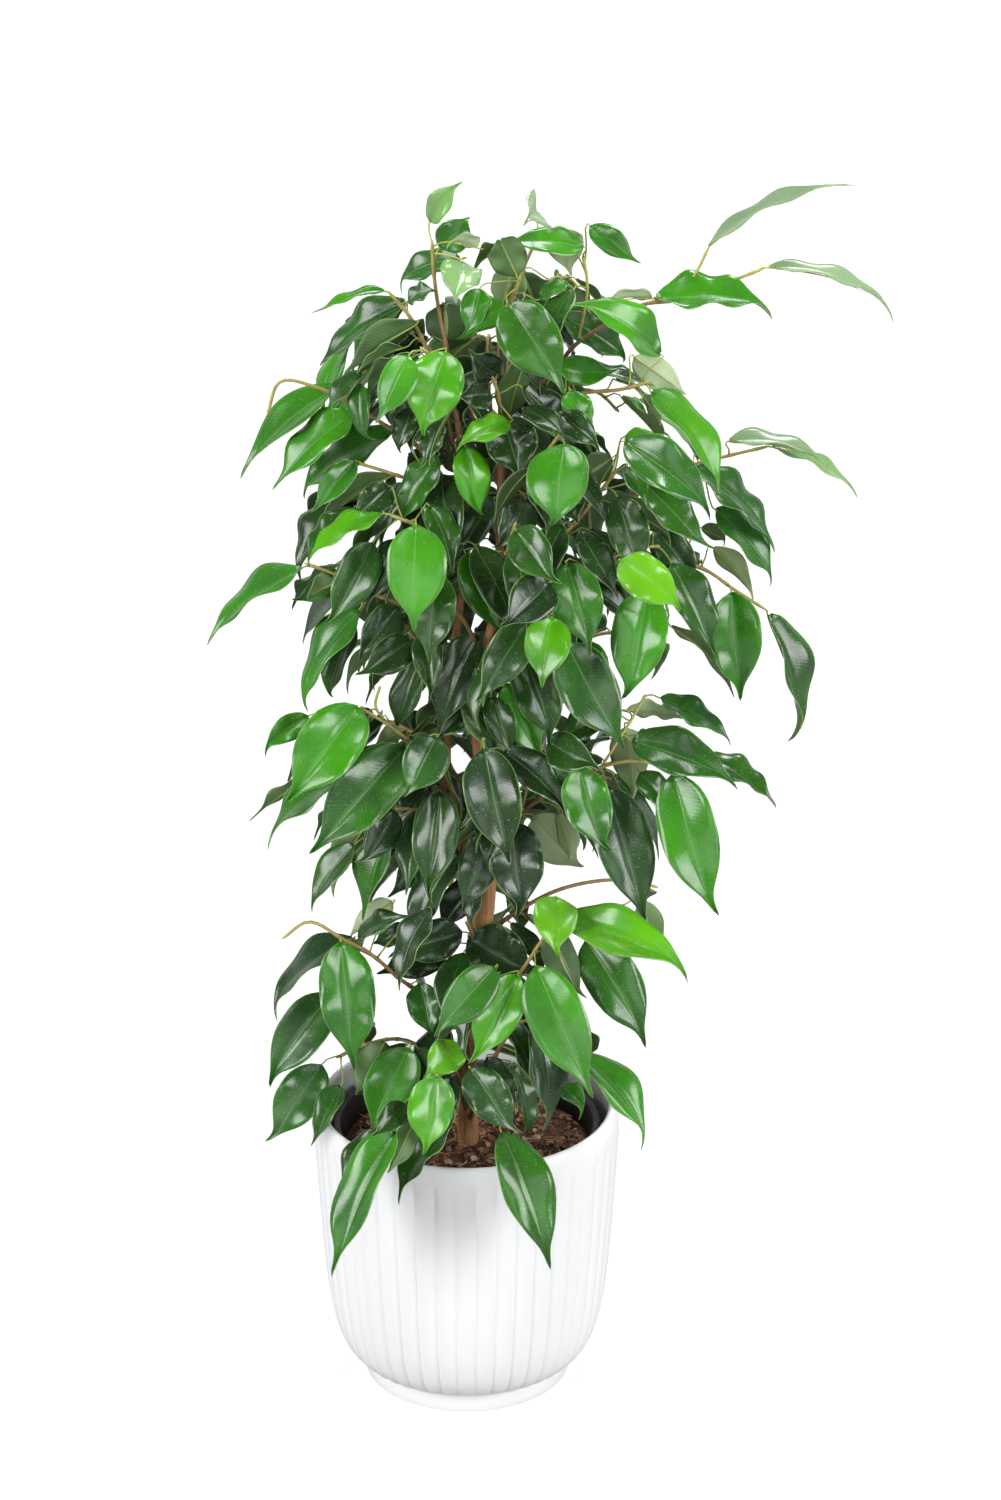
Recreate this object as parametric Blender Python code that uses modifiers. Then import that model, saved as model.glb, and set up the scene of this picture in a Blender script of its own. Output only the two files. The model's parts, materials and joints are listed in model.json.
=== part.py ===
"""Weeping fig (Ficus benjamina) standing in its nursery pot inside a white ribbed cachepot.

Units are metres, +Z is up, the origin is the middle of the cachepot's foot and the front faces -Y.
The leaves that show from the front are read from the photograph, as pixels of its 1001 x 1500 frame, and
are carried into the model along the view rays of the camera below. The others follow a seeded rule.
"""

import math
import random
from dataclasses import dataclass

import bmesh
import bpy
from mathutils import Matrix, Vector
from mathutils.bvhtree import BVHTree

MM = 0.001
GAP = 0.3 * MM

# Cachepot
POT_HEIGHT = 0.215
POT_RADIUS = 0.110
POT_FOOT_RADIUS = 0.0745
POT_FOOT_HEIGHT = 0.0155
POT_WALL = 0.004
POT_FLOOR = 0.021
POT_RIBS = 46
RIB_DEPTH = 0.0009
RIB_TOP = 0.200

# Nursery pot and soil
NURSERY_FOOT_Z = POT_FLOOR + 0.0004
NURSERY_TOP_Z = 0.199
NURSERY_TOP_RADIUS = 0.0925
NURSERY_FOOT_RADIUS = 0.073
NURSERY_RIM_RADIUS = 0.0965
NURSERY_WALL = 0.0016
NURSERY_FLOOR = 0.0026
NURSERY_STEPS = 28
DRAIN_RADIUS = 0.005
DRAIN_RING = 0.045
DRAIN_COUNT = 4
SOIL_LEVEL = 0.180
SOIL_ROUGHNESS = 0.0022
TRUNK_FOOT_Z = 0.125
TRUNK_HOLE_SIDES = 16

# The photograph's camera, which turns a pixel and a depth into a place
CAMERA_PLACE = Vector((0.0244, -3.0, 1.761))
CAMERA_PITCH = math.radians(23.0)
FOCAL_PX = 4683.0
PHOTO_CENTRE = (500.5, 750.0)

# Leaves
BLADE_RATIO = 0.42
BLADE_WIDTH_RANGE = (0.017, 0.037)
FRONT_STATIONS = ((0.14, 0.76), (0.42, 1.0), (0.75, 0.48))
REAR_STATIONS = ((0.20, 0.93), (0.60, 0.80))
DROOP = 0.10
KEEL = 0.0017
PETIOLE_RADIUS = 0.0009
ROOT_RADIUS = 0.0005
ROOT_SPACING = 0.0026
STALK_BEND_COST = 0.008
CROWDING_COST = 0.012
CLEARANCE = 0.0008
TWIG_RADII = (0.0017, 0.0011)
SIDE_TWIG_RADIUS = 0.0010
TWIG_STEP = 0.034
TWIG_GAP = 0.0004
TWIG_FOOT = 0.004
SHORTEST_STALK = 0.005
USUAL_BLADE = 0.060
LEAST_SLANT = 1.05
MOST_SLANT = 1.22

# Tried in turn until a twig or a leaf is clear: mm behind its place and above it, share of its lean, degrees
TWIG_SHIFTS_MM = (0, -4, 4, -8, 8, -12, 12, -16, 16)
TWIG_LIFTS_MM = (0, 5, -5, 10, -10)
SLIDES_MM = (0, -5, 5, -10, 10, -15, 15, -20, 20, -26, 26, -32, 32)
LEANS = (1.0, 0.5, 0.0)
TURNS = (0.0, 10.0, -10.0)

# What the canopy leaves open from the front, as circles on the photograph: x, y, radius
OPENINGS = (
    (384, 462, 22), (330, 590, 14), (340, 690, 16), (385, 738, 14), (455, 760, 10), (610, 640, 14),
    (560, 885, 42), (545, 850, 20), (375, 985, 34), (395, 1025, 20), (300, 1050, 8), (690, 640, 30),
    (610, 410, 22), (620, 900, 24), (535, 270, 10), (320, 870, 30), (430, 1000, 6), (640, 860, 10),
)


def photo_point(px, py, depth_mm):
    """The place that shows at a pixel of the photograph, at a depth behind the pot's axis."""
    forward = Vector((0.0, math.cos(CAMERA_PITCH), -math.sin(CAMERA_PITCH)))
    upward = Vector((0.0, math.sin(CAMERA_PITCH), math.cos(CAMERA_PITCH)))
    ray = forward + upward * ((PHOTO_CENTRE[1] - py) / FOCAL_PX)
    ray.x = (px - PHOTO_CENTRE[0]) / FOCAL_PX
    return CAMERA_PLACE + ray * ((depth_mm * MM - CAMERA_PLACE.y) / ray.y)


def photo_pixel(point):
    """The pixel of the photograph at which a place shows."""
    offset = point - CAMERA_PLACE
    depth = math.cos(CAMERA_PITCH) * offset.y - math.sin(CAMERA_PITCH) * offset.z
    height = math.sin(CAMERA_PITCH) * offset.y + math.cos(CAMERA_PITCH) * offset.z
    return PHOTO_CENTRE[0] + FOCAL_PX * offset.x / depth, PHOTO_CENTRE[1] - FOCAL_PX * height / depth


@dataclass(frozen=True)
class Leaf:
    """One leaf as the photograph shows it: blade base, tip and width across in pixels.

    near_mm is how far the blade's base stands before its twig, under says that the leaf shows its
    underside, and long_mm is the real length of a leaf that points at the camera.
    """

    base_px: tuple
    tip_px: tuple
    across_px: float
    near_mm: float = 0.0
    under: bool = False
    long_mm: float = 0.0


@dataclass(frozen=True)
class Spray:
    """A twig that leaves a stem, as points of pixel x, pixel y and depth in mm, with its leaves."""

    name: str
    route: tuple
    leaves: tuple
    sides: tuple = ()


@dataclass(frozen=True)
class Stem:
    """A woody stem by points of pixel x, pixel y, depth in mm and radius in mm."""

    name: str
    points: tuple


STEMS = (
    Stem("trunk", (
        (468, 1140, 0, 7.8), (467, 1080, 0, 7.3), (468, 1010, 0, 7.2), (475, 955, -1, 7.8),
        (480, 925, -1, 8.2),
    )),
    Stem("right_leader", (
        (483, 938, -2, 5.6), (489, 885, -4, 5.3), (486, 810, -5, 4.8), (478, 742, -5, 4.6),
        (480, 700, -4, 4.3), (487, 650, -3, 4.0), (496, 605, 0, 3.6), (500, 540, 0, 3.2),
        (501, 470, 0, 2.8), (504, 410, 0, 2.4), (510, 350, 2, 1.9),
    )),
    Stem("left_leader", (
        (477, 938, 0, 5.2), (468, 885, 3, 4.6), (463, 840, 5, 4.2), (451, 800, 7, 3.8),
        (446, 750, 7, 3.4), (450, 680, 5, 3.0), (461, 600, 2, 2.7), (469, 530, -2, 2.4),
        (466, 470, -4, 2.2), (457, 410, -4, 1.8),
    )),
    Stem("back_leader", (
        (480, 935, 2, 4.6), (486, 880, 14, 4.2), (500, 800, 26, 3.8), (515, 710, 33, 3.4),
        (521, 620, 33, 3.0), (521, 530, 30, 2.7), (526, 460, 28, 2.3), (535, 395, 28, 1.8),
    )),
)

SPRAYS = (
    Spray("crown_left", ((457, 420, -4), (447, 350, -2), (437, 300, 0), (433, 262, 0), (432, 240, 0)), (
        Leaf((430, 222), (462, 180), 24),
        Leaf((440, 248), (470, 214), 34, -6),
        Leaf((460, 258), (393, 285), 26, -10),
        Leaf((463, 262), (452, 304), 42, 12, long_mm=48),
        Leaf((478, 246), (446, 242), 12, 8, under=True),
        Leaf((446, 342), (443, 298), 44, -4, under=True),
    )),
    Spray("left_top", ((460, 440, -4), (440, 380, -8), (420, 335, -6), (402, 305, -4), (388, 291, -2)), (
        Leaf((384, 290), (313, 317), 9),
        Leaf((405, 302), (319, 371), 30, -8),
        Leaf((417, 322), (346, 378), 28, 6, under=True),
        Leaf((402, 347), (357, 374), 12, 10, under=True),
        Leaf((408, 300), (438, 290), 18, 4),
    )),
    Spray("left_top_front", ((463, 450, -4), (452, 400, -30), (438, 362, -44), (420, 347, -50)), (
        Leaf((408, 358), (376, 427), 36, 6),
        Leaf((446, 352), (418, 439), 56, 10),
        Leaf((465, 447), (479, 522), 36, 6),
        Leaf((458, 450), (463, 491), 20, -8),
    )),
    Spray("crown_centre", (
        (506, 400, 0), (500, 340, -8), (512, 300, -12), (530, 252, -8), (541, 230, -4),
    ), (
        Leaf((537, 211), (524, 218), 46, 2, long_mm=46),
        Leaf((517, 276), (497, 234), 38, 4, under=True),
        Leaf((503, 303), (512, 263), 36, 12, under=True),
        Leaf((508, 303), (568, 392), 60, 30),
        Leaf((481, 289), (466, 338), 30, 14),
        Leaf((540, 297), (574, 282), 18, -4),
    )),
    Spray("crown_core", ((504, 440, 0), (500, 410, -20), (497, 390, -36), (492, 376, -44)), (
        Leaf((497, 374), (468, 350), 34, -4),
        Leaf((492, 395), (455, 399), 28, 4),
        Leaf((508, 418), (534, 346), 30, -6, under=True),
        Leaf((505, 424), (522, 480), 52, 14),
        Leaf((509, 421), (453, 447), 26, 24),
    )),
    Spray("upper_front", ((501, 500, 0), (528, 472, -28), (550, 448, -48), (562, 432, -54)), (
        Leaf((564, 444), (557, 532), 62, 10),
        Leaf((562, 414), (604, 450), 30, -8),
        Leaf((565, 489), (579, 524), 34, 0),
        Leaf((525, 500), (497, 553), 38, 6),
        Leaf((524, 408), (570, 441), 24, -6),
    )),
    Spray("upper_right_shoot", (
        (512, 400, 2), (545, 382, 2), (577, 343, 0), (612, 321, 0), (645, 304, 0), (690, 299, 0),
        (735, 279, 0), (765, 268, 0),
    ), (
        Leaf((708, 246), (854, 183), 13),
        Leaf((656, 296), (779, 309), 34, 6),
        Leaf((769, 266), (901, 315), 12),
        Leaf((652, 297), (599, 307), 10, -6, under=True),
        Leaf((583, 249), (501, 247), 28, 6),
        Leaf((562, 230), (571, 277), 38, -10, under=True),
        Leaf((590, 226), (639, 266), 26, -8),
        Leaf((562, 314), (632, 363), 34, -4),
        Leaf((561, 368), (620, 373), 30, 10),
    ), sides=(
        ((645, 304, 0), (672, 294, -2), (699, 270, -2), (707, 251, -2)),
        ((577, 343, 0), (586, 300, -2), (587, 276, -2), (583, 255, -2)),
    )),
    Spray("right_upper", ((503, 440, 2), (558, 399, -12), (618, 390, -22), (652, 381, -26)), (
        Leaf((661, 353), (572, 299), 38, 2),
        Leaf((634, 357), (690, 397), 32, -20, under=True),
        Leaf((652, 391), (724, 497), 32, 6),
        Leaf((645, 396), (661, 428), 14, -8, under=True),
        Leaf((572, 373), (655, 389), 14, -10),
        Leaf((570, 391), (587, 440), 30, 12),
    )),
    Spray("right_front", ((498, 600, 0), (550, 553, -28), (590, 505, -44), (618, 468, -50)), (
        Leaf((625, 441), (718, 516), 48, 14),
        Leaf((625, 437), (674, 446), 28, -2),
        Leaf((646, 484), (709, 553), 36, -6),
        Leaf((628, 467), (645, 506), 22, -2),
        Leaf((612, 458), (562, 487), 32, -14, under=True),
        Leaf((601, 498), (678, 541), 30, -20, under=True),
        Leaf((617, 497), (641, 580), 42, 0),
    )),
    Spray("right_front_low", ((498, 620, 0), (545, 592, -30), (590, 569, -52), (618, 562, -62)), (
        Leaf((621, 560), (687, 610), 44, 10),
        Leaf((648, 590), (627, 706), 56, 0),
        Leaf((655, 528), (700, 588), 38, -16),
        Leaf((672, 563), (713, 657), 40, -10),
        Leaf((567, 563), (591, 655), 54, 12),
        Leaf((580, 532), (618, 600), 30, -8),
    ), sides=(((590, 569, -52), (630, 550, -42), (660, 546, -36)),)),
    Spray("right_far", (
        (500, 560, 4), (570, 530, 8), (640, 492, 8), (700, 462, 4), (745, 453, 2), (770, 446, 0),
    ), (
        Leaf((729, 440), (833, 466), 14, 6),
        Leaf((772, 446), (862, 499), 12),
        Leaf((695, 466), (776, 553), 28, 4),
        Leaf((716, 508), (776, 584), 30, 6),
        Leaf((658, 522), (701, 541), 14, -12, under=True),
    )),
    Spray("right_mid", (
        (500, 600, 4), (560, 577, 0), (630, 562, -5), (695, 566, -8), (735, 590, -8), (768, 611, -8),
    ), (
        Leaf((732, 592), (742, 701), 52, 6),
        Leaf((770, 614), (798, 747), 26),
        Leaf((714, 547), (756, 601), 20, -6, under=True),
        Leaf((672, 625), (733, 698), 16, -6, under=True),
        Leaf((700, 530), (727, 546), 16, -10, under=True),
    ), sides=(((650, 562, -6), (662, 590, -2), (668, 612, 2)),)),
    Spray("right_low", (
        (485, 840, -2), (520, 813, -18), (556, 790, -30), (600, 767, -42), (635, 761, -46),
        (664, 764, -46),
    ), (
        Leaf((632, 740), (742, 785), 46, 4),
        Leaf((661, 697), (734, 743), 24, -20),
        Leaf((627, 709), (690, 724), 16, -24, under=True),
        Leaf((704, 757), (778, 808), 24, -10),
        Leaf((673, 774), (715, 921), 58, 4),
        Leaf((640, 773), (672, 815), 28, -8),
        Leaf((625, 728), (637, 803), 38, -26, under=True),
        Leaf((607, 787), (647, 929), 56, 0),
        Leaf((579, 768), (606, 856), 48, 12),
        Leaf((548, 742), (604, 767), 38, 10),
        Leaf((560, 812), (570, 865), 22, -12, under=True),
    ), sides=(
        ((600, 767, -42), (620, 738, -32), (636, 712, -24), (646, 694, -20)),
        ((520, 813, -18), (528, 785, -28), (538, 758, -36)),
    )),
    Spray("centre_front", ((488, 660, -3), (515, 640, -40), (540, 620, -66), (556, 608, -76)), (
        Leaf((552, 617), (541, 690), 46, 12),
        Leaf((525, 657), (553, 746), 48, 0),
        Leaf((566, 643), (627, 752), 58, 6),
        Leaf((548, 584), (500, 631), 48, -12),
        Leaf((492, 697), (512, 759), 30, -10),
    )),
    Spray("centre_upper", ((500, 590, 0), (505, 560, -35), (512, 535, -58), (516, 522, -64)), (
        Leaf((513, 529), (557, 588), 42, 6),
        Leaf((467, 553), (499, 639), 38, 6),
    )),
    Spray("centre_left", ((487, 650, -3), (465, 622, -30), (445, 600, -50), (432, 586, -56)), (
        Leaf((437, 572), (428, 665), 46, 10),
        Leaf((425, 631), (433, 701), 30, -4),
        Leaf((478, 634), (438, 739), 42, -14),
    )),
    Spray("left_mid_front", ((464, 570, -2), (440, 542, -28), (414, 524, -46), (390, 515, -48)), (
        Leaf((416, 525), (413, 634), 60, 10),
        Leaf((381, 513), (306, 561), 22, 2),
        Leaf((388, 488), (350, 520), 34, -12),
        Leaf((352, 508), (303, 566), 22, -16),
        Leaf((373, 543), (327, 627), 42, -4),
        Leaf((430, 506), (453, 576), 30, -8),
    )),
    Spray("left_upper", (
        (468, 510, -4), (430, 458, -4), (395, 432, -6), (355, 406, -8), (322, 390, -8), (292, 377, -6),
        (277, 386, -6), (267, 417, -6),
    ), (
        Leaf((340, 387), (243, 481), 28, -8),
        Leaf((352, 413), (274, 492), 36, 8),
        Leaf((393, 431), (295, 501), 32, -8),
        Leaf((413, 408), (396, 456), 24, 8),
        Leaf((441, 422), (425, 470), 22, 8),
        Leaf((437, 455), (397, 530), 32, 12),
        Leaf((360, 384), (366, 446), 22, 4),
        Leaf((362, 372), (326, 415), 18, -6),
    )),
    Spray("left_upper_low", (
        (467, 535, -4), (432, 494, -8), (400, 475, -12), (374, 472, -14), (358, 463, -14),
    ), (
        Leaf((355, 461), (312, 514), 28),
        Leaf((391, 474), (315, 534), 18, -6, under=True),
        Leaf((448, 490), (405, 499), 14, -8),
    )),
    Spray("left_mid", (
        (449, 690, 4), (430, 622, -8), (383, 599, -16), (335, 574, -18), (304, 563, -16),
    ), (
        Leaf((301, 567), (207, 645), 24),
        Leaf((342, 572), (292, 604), 26, -8),
        Leaf((335, 581), (305, 601), 16, -12, under=True),
        Leaf((358, 609), (299, 714), 30, 6),
        Leaf((398, 607), (354, 661), 38, 10),
        Leaf((355, 622), (328, 704), 28, -6),
    )),
    Spray("left_mid_low", ((450, 720, 5), (435, 668, -18), (420, 640, -30), (408, 632, -34)), (
        Leaf((412, 640), (355, 679), 36, 4),
        Leaf((412, 627), (339, 690), 18, 8, under=True),
        Leaf((420, 660), (396, 735), 30, -8),
        Leaf((468, 703), (436, 742), 26, 4),
    )),
    Spray("left_low", (
        (449, 790, 6), (430, 757, -18), (408, 740, -34), (376, 716, -42), (361, 708, -44),
    ), (
        Leaf((359, 707), (285, 806), 64, 4),
        Leaf((308, 716), (259, 752), 26, -14),
        Leaf((320, 777), (252, 822), 14, -16, under=True),
        Leaf((343, 775), (265, 845), 26, -8),
        Leaf((406, 747), (308, 859), 70, 10),
        Leaf((436, 738), (405, 801), 46, 6),
        Leaf((400, 728), (372, 745), 20, -16, under=True),
    ), sides=(
        ((408, 740, -34), (389, 724, -36), (374, 703, -36), (380, 686, -36)),
        ((408, 740, -34), (378, 752, -22), (350, 762, -14), (328, 766, -10)),
    )),
    Spray("left_lower", ((463, 850, 4), (440, 824, -20), (414, 808, -32), (394, 808, -36)), (
        Leaf((440, 792), (426, 898), 46, 8),
        Leaf((398, 808), (360, 868), 34, -4),
        Leaf((391, 824), (367, 924), 30, 4),
        Leaf((366, 822), (330, 897), 28, -10, under=True),
        Leaf((357, 845), (312, 912), 26, -16),
        Leaf((449, 812), (428, 904), 34, 14),
        Leaf((458, 850), (412, 946), 36, 12),
    ), sides=(((414, 808, -32), (392, 822, -16), (372, 836, -6)),)),
    Spray("centre_low", ((480, 760, -4), (482, 748, -35), (484, 738, -50)), (
        Leaf((483, 744), (511, 868), 56, 6),
    )),
    Spray("centre_lower", ((487, 860, -4), (498, 832, -18), (512, 815, -28), (524, 808, -32)), (
        Leaf((512, 822), (524, 917), 54, 8),
        Leaf((534, 817), (583, 873), 46, -16, under=True),
        Leaf((520, 797), (556, 785), 14, -12),
    )),
    Spray("low_left", (
        (466, 1045, 0), (440, 1009, -12), (408, 986, -20), (376, 958, -26), (352, 943, -28),
        (328, 933, -28), (302, 920, -26), (282, 939, -26),
    ), (
        Leaf((341, 942), (354, 1074), 56, 8),
        Leaf((352, 937), (266, 1016), 26, -6),
        Leaf((330, 994), (264, 1087), 48, 4),
        Leaf((358, 938), (413, 916), 22, -8),
        Leaf((392, 901), (345, 936), 26, -16, under=True),
        Leaf((420, 983), (432, 1041), 34, 8),
    )),
    Spray("low_left_rim", (
        (467, 1080, 0), (430, 1052, -20), (390, 1038, -34), (362, 1046, -38), (336, 1058, -38),
    ), (
        Leaf((322, 1065), (270, 1146), 46),
        Leaf((385, 1042), (355, 1100), 44, 6, under=True),
        Leaf((340, 1085), (314, 1148), 24, 24),
        Leaf((409, 1048), (368, 1134), 50, 26),
    )),
    Spray("low_front_left", (
        (467, 1100, 0), (458, 1075, -45), (445, 1070, -78), (430, 1088, -94), (414, 1112, -98),
    ), (
        Leaf((460, 1045), (422, 1080), 36, 0),
        Leaf((437, 1076), (426, 1156), 46, 4),
        Leaf((452, 1118), (397, 1202), 30, 68),
        Leaf((395, 1130), (336, 1278), 42, 22),
        Leaf((380, 1130), (341, 1200), 26, 12),
        Leaf((404, 1103), (372, 1140), 26, 0),
        Leaf((415, 1120), (390, 1172), 26, 14, under=True),
    )),
    Spray("low_front", ((467, 1060, 0), (470, 1030, -40), (480, 1000, -58), (500, 972, -66)), (
        Leaf((495, 967), (431, 1037), 44, 4),
        Leaf((518, 975), (472, 1066), 46, 8),
    )),
    Spray("fork_front", ((477, 945, -2), (472, 934, -14), (468, 926, -24), (466, 922, -30)), (
        Leaf((468, 938), (540, 975), 56, 2),
        Leaf((462, 932), (386, 952), 42, -6),
    )),
    Spray("low_right", (
        (468, 1020, 0), (498, 1000, -32), (520, 973, -54), (540, 943, -64), (556, 920, -68),
    ), (
        Leaf((536, 966), (593, 1099), 58, 12),
        Leaf((556, 897), (554, 959), 44, 8),
        Leaf((562, 916), (697, 973), 46, 6),
        Leaf((586, 940), (650, 1048), 54, -8),
        Leaf((550, 929), (583, 1001), 34, -14, under=True),
        Leaf((640, 900), (657, 958), 26, 0, under=True),
    ), sides=(((540, 943, -64), (585, 925, -52), (625, 904, -40)),)),
    Spray("rim_right", (
        (467, 1095, 0), (500, 1047, -30), (524, 1020, -45), (548, 1022, -52), (572, 1044, -56),
    ), (
        Leaf((537, 1022), (547, 1131), 38, 8),
        Leaf((507, 1020), (540, 1100), 26, 4),
        Leaf((582, 1054), (650, 1147), 34, 26),
        Leaf((487, 1057), (515, 1120), 26, 2),
        Leaf((514, 1066), (528, 1140), 20, -4),
        Leaf((558, 1083), (586, 1116), 20, -10),
    )),
    Spray("rim_front", ((468, 1110, 0), (480, 1082, -50), (492, 1098, -86), (500, 1118, -100)), (
        Leaf((502, 1132), (549, 1273), 50, 14),
        Leaf((470, 1068), (516, 1137), 42, 2),
    )),
)

# Sprays that the photograph hides: the heights where they leave the stems, their angles from +X and reach
HIDDEN_SPRAYS = 20
HIDDEN_HEIGHTS = (0.335, 0.735)
HIDDEN_ANGLES = (12.0, 168.0)
HIDDEN_REACH = (0.105, 0.150)
GOLDEN_SHARE = 0.381966

# Their leaves: how many are tried on a spray, lengths, and the spread of their directions in degrees
HIDDEN_LEAVES = 9
HIDDEN_TRIES = 14
HIDDEN_LENGTHS = (0.056, 0.080)
SIDE_ANGLE = 48.0
SWING = 28.0
ROLL = 20.0
DROP = 0.2
SEED = 11


def walk_route(points, count):
    """Places spread evenly along straight stretches between the given points."""
    lengths = [0.0]
    for start, end in zip(points, points[1:]):
        lengths.append(lengths[-1] + (end - start).length)
    route = []
    index = 0
    for step in range(count):
        target = lengths[-1] * step / (count - 1)
        while index < len(points) - 2 and lengths[index + 1] < target:
            index += 1
        span = max(lengths[index + 1] - lengths[index], 1e-9)
        route.append(points[index].lerp(points[index + 1], min(1.0, (target - lengths[index]) / span)))
    return route


def smooth_route(points, count):
    """Places spread evenly along a curve through the given points."""
    padded = [points[0] * 2 - points[1], *points, points[-1] * 2 - points[-2]]
    dense = []
    for before, start, end, after in zip(padded, padded[1:], padded[2:], padded[3:]):
        for step in range(8):
            t = step / 8
            dense.append(
                0.5 * (
                    2 * start
                    + (end - before) * t
                    + (2 * before - 5 * start + 4 * end - after) * t * t
                    + (3 * start - before - 3 * end + after) * t * t * t
                )
            )
    dense.append(points[-1].copy())
    return walk_route(dense, count)


def nearest_on(route, point):
    """The place on a route nearest a point, with its index and share of the segment."""
    best = None
    for index, (start, end) in enumerate(zip(route, route[1:])):
        along = end - start
        share = max(0.0, min(1.0, (point - start).dot(along) / max(along.length_squared, 1e-12)))
        place = start + along * share
        distance = (point - place).length
        if best is None or distance < best[0]:
            best = (distance, place, index, share)
    return best


def tube_shell(route, radii, sides=6):
    """Points and faces of a plain tube, which stands for wood when leaves are fitted round it."""
    points, faces = [], []
    for index, place in enumerate(route):
        along = (route[min(index + 1, len(route) - 1)] - route[max(index - 1, 0)]).normalized()
        upright = abs(along.z) > 0.9
        across = along.cross(Vector((0.0, float(upright), float(not upright)))).normalized()
        other = along.cross(across)
        for side in range(sides):
            turn = math.tau * side / sides
            points.append(place + (across * math.cos(turn) + other * math.sin(turn)) * radii[index])
    for ring in range(len(route) - 1):
        for side in range(sides):
            here = ring * sides + side
            beside = ring * sides + (side + 1) % sides
            faces.append((here, beside, beside + sides, here + sides))
    return points, faces


def crosses_itself(points, faces):
    """Whether faces of a shape that share no corner meet."""
    tree = BVHTree.FromPolygons(points, faces)
    return any(not set(faces[one]) & set(faces[other]) for one, other in tree.overlap(tree))


class Solid:
    """A closed shape's search tree and box, for quick tests of what it touches."""

    def __init__(self, points, faces, owner=""):
        self.tree = BVHTree.FromPolygons(points, faces)
        self.owner = owner
        self.low = [min(p[axis] for p in points) for axis in range(3)]
        self.high = [max(p[axis] for p in points) for axis in range(3)]

    def touches(self, other):
        """Whether the surfaces of two shapes meet."""
        for axis in range(3):
            if self.low[axis] > other.high[axis] or other.low[axis] > self.high[axis]:
                return False
        return bool(self.tree.overlap(other.tree))


@dataclass
class Blade:
    """A placed leaf: its stalk's root, its blade's base and tip, its width and the way its face looks."""

    root: Vector
    base: Vector
    tip: Vector
    width: float
    face: Vector
    stations: tuple

    def frame(self, share):
        """Place, width direction and face direction of the midrib at a share of the blade's length."""
        axis = self.tip - self.base
        length = axis.length
        lift = self.face * (DROOP * length * 4.0 * share * (1.0 - share))
        slope = self.face * (DROOP * length * 4.0 * (1.0 - 2.0 * share))
        along = (axis + slope).normalized()
        across = along.cross(self.face).normalized()
        return self.base + axis * share + lift, across, across.cross(along).normalized()

    def stalk_sections(self):
        """Corners of the stalk's section at its root and at the blade's base."""
        stalk_way = (self.base - self.root).normalized()
        blade_way = (self.tip - self.base).normalized()
        across = self.frame(0.0)[1]
        sections = []
        middle_way = (stalk_way + blade_way).normalized()
        ends = ((self.root, stalk_way, ROOT_RADIUS), (self.base, middle_way, PETIOLE_RADIUS))
        for place, way, radius in ends:
            level = across - way * across.dot(way)
            if level.length < 0.2:
                level = self.face - way * self.face.dot(way)
            level.normalize()
            face = level.cross(way)
            side = level * radius
            sections.append((place - side + face * radius * 0.5, place + side + face * radius * 0.5,
                             place - face * radius))
        return sections

    def blade_sections(self, spread=0.0):
        """Left edge, right edge and keel at each station of the blade, grown by a spread."""
        sections = []
        for share, part in self.stations:
            place, across, face = self.frame(share)
            half = across * (0.5 * self.width * part + spread)
            sections.append((place - half, place + half, place - face * (KEEL * part ** 0.5 + spread)))
        return sections

    def loft(self):
        """Points and faces of the whole leaf as one closed solid."""
        sections = [*self.stalk_sections(), *self.blade_sections()]
        return loft_faces(sections, self.tip)

    def stalk_solid(self):
        """Points and faces of the stalk beyond its twig, for tests of room."""
        root, base = self.stalk_sections()
        share = min(0.6, 0.0035 / (self.base - self.root).length)
        start = tuple(low.lerp(high, share) for low, high in zip(root, base))
        return loft_faces([start, base], self.base + (self.tip - self.base) * 0.05)

    def blade_solid(self, spread):
        """Points and faces of the blade alone as a body with a spread all round, for tests of room."""
        faces_way = self.face * spread
        sections = []
        _, base = self.stalk_sections()
        for left, right, keel in (base, *self.blade_sections(spread)):
            sections.append((left + faces_way, right + faces_way, keel))
        return loft_faces(sections, self.tip + (self.tip - self.base).normalized() * spread)


def loft_faces(sections, tip):
    """Points and faces of a closed body through triangular sections, up to its tip."""
    points = [point for section in sections for point in section]
    points.append(tip)
    faces = [(0, 1, 2)]
    for ring in range(len(sections) - 1):
        for here, beside in ((0, 1), (1, 2), (2, 0)):
            low, high = ring * 3 + here, ring * 3 + beside
            if here == 2:
                faces.append((low, low + 3, high + 3))
                faces.append((low, high + 3, high))
            else:
                faces.append((low, low + 3, high))
                faces.append((high, low + 3, high + 3))
    last = (len(sections) - 1) * 3
    for here, beside in ((0, 1), (1, 2), (2, 0)):
        faces.append((last + here, len(points) - 1, last + beside))
    return points, faces


@dataclass
class Branch:
    """A placed spray: its twigs as lists of places with radii, and its leaves."""

    name: str
    twigs: list
    blades: list


def stem_routes():
    """Every stem's places and radii, with the trunk carried down into the soil."""
    routes = []
    for stem in STEMS:
        places = [photo_point(px, py, depth) for px, py, depth, _ in stem.points]
        radii = [radius * MM for *_, radius in stem.points]
        if stem.name == "trunk":
            places.insert(0, Vector((places[0].x, places[0].y, TRUNK_FOOT_Z)))
            radii.insert(0, radii[0])
        routes.append((places, radii))
    return routes


def pot_outside():
    """Outline of the cachepot's outside as radius and height, from its foot up to its rim."""
    return (
        (POT_FOOT_RADIUS, 0.0), (POT_FOOT_RADIUS, POT_FOOT_HEIGHT), (0.0800, POT_FOOT_HEIGHT + 0.001),
        (0.0915, 0.030), (0.0985, 0.052), (0.1050, 0.1125), (POT_RADIUS, 0.192), (0.1088, 0.207),
        (0.1050, POT_HEIGHT),
    )


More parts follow.
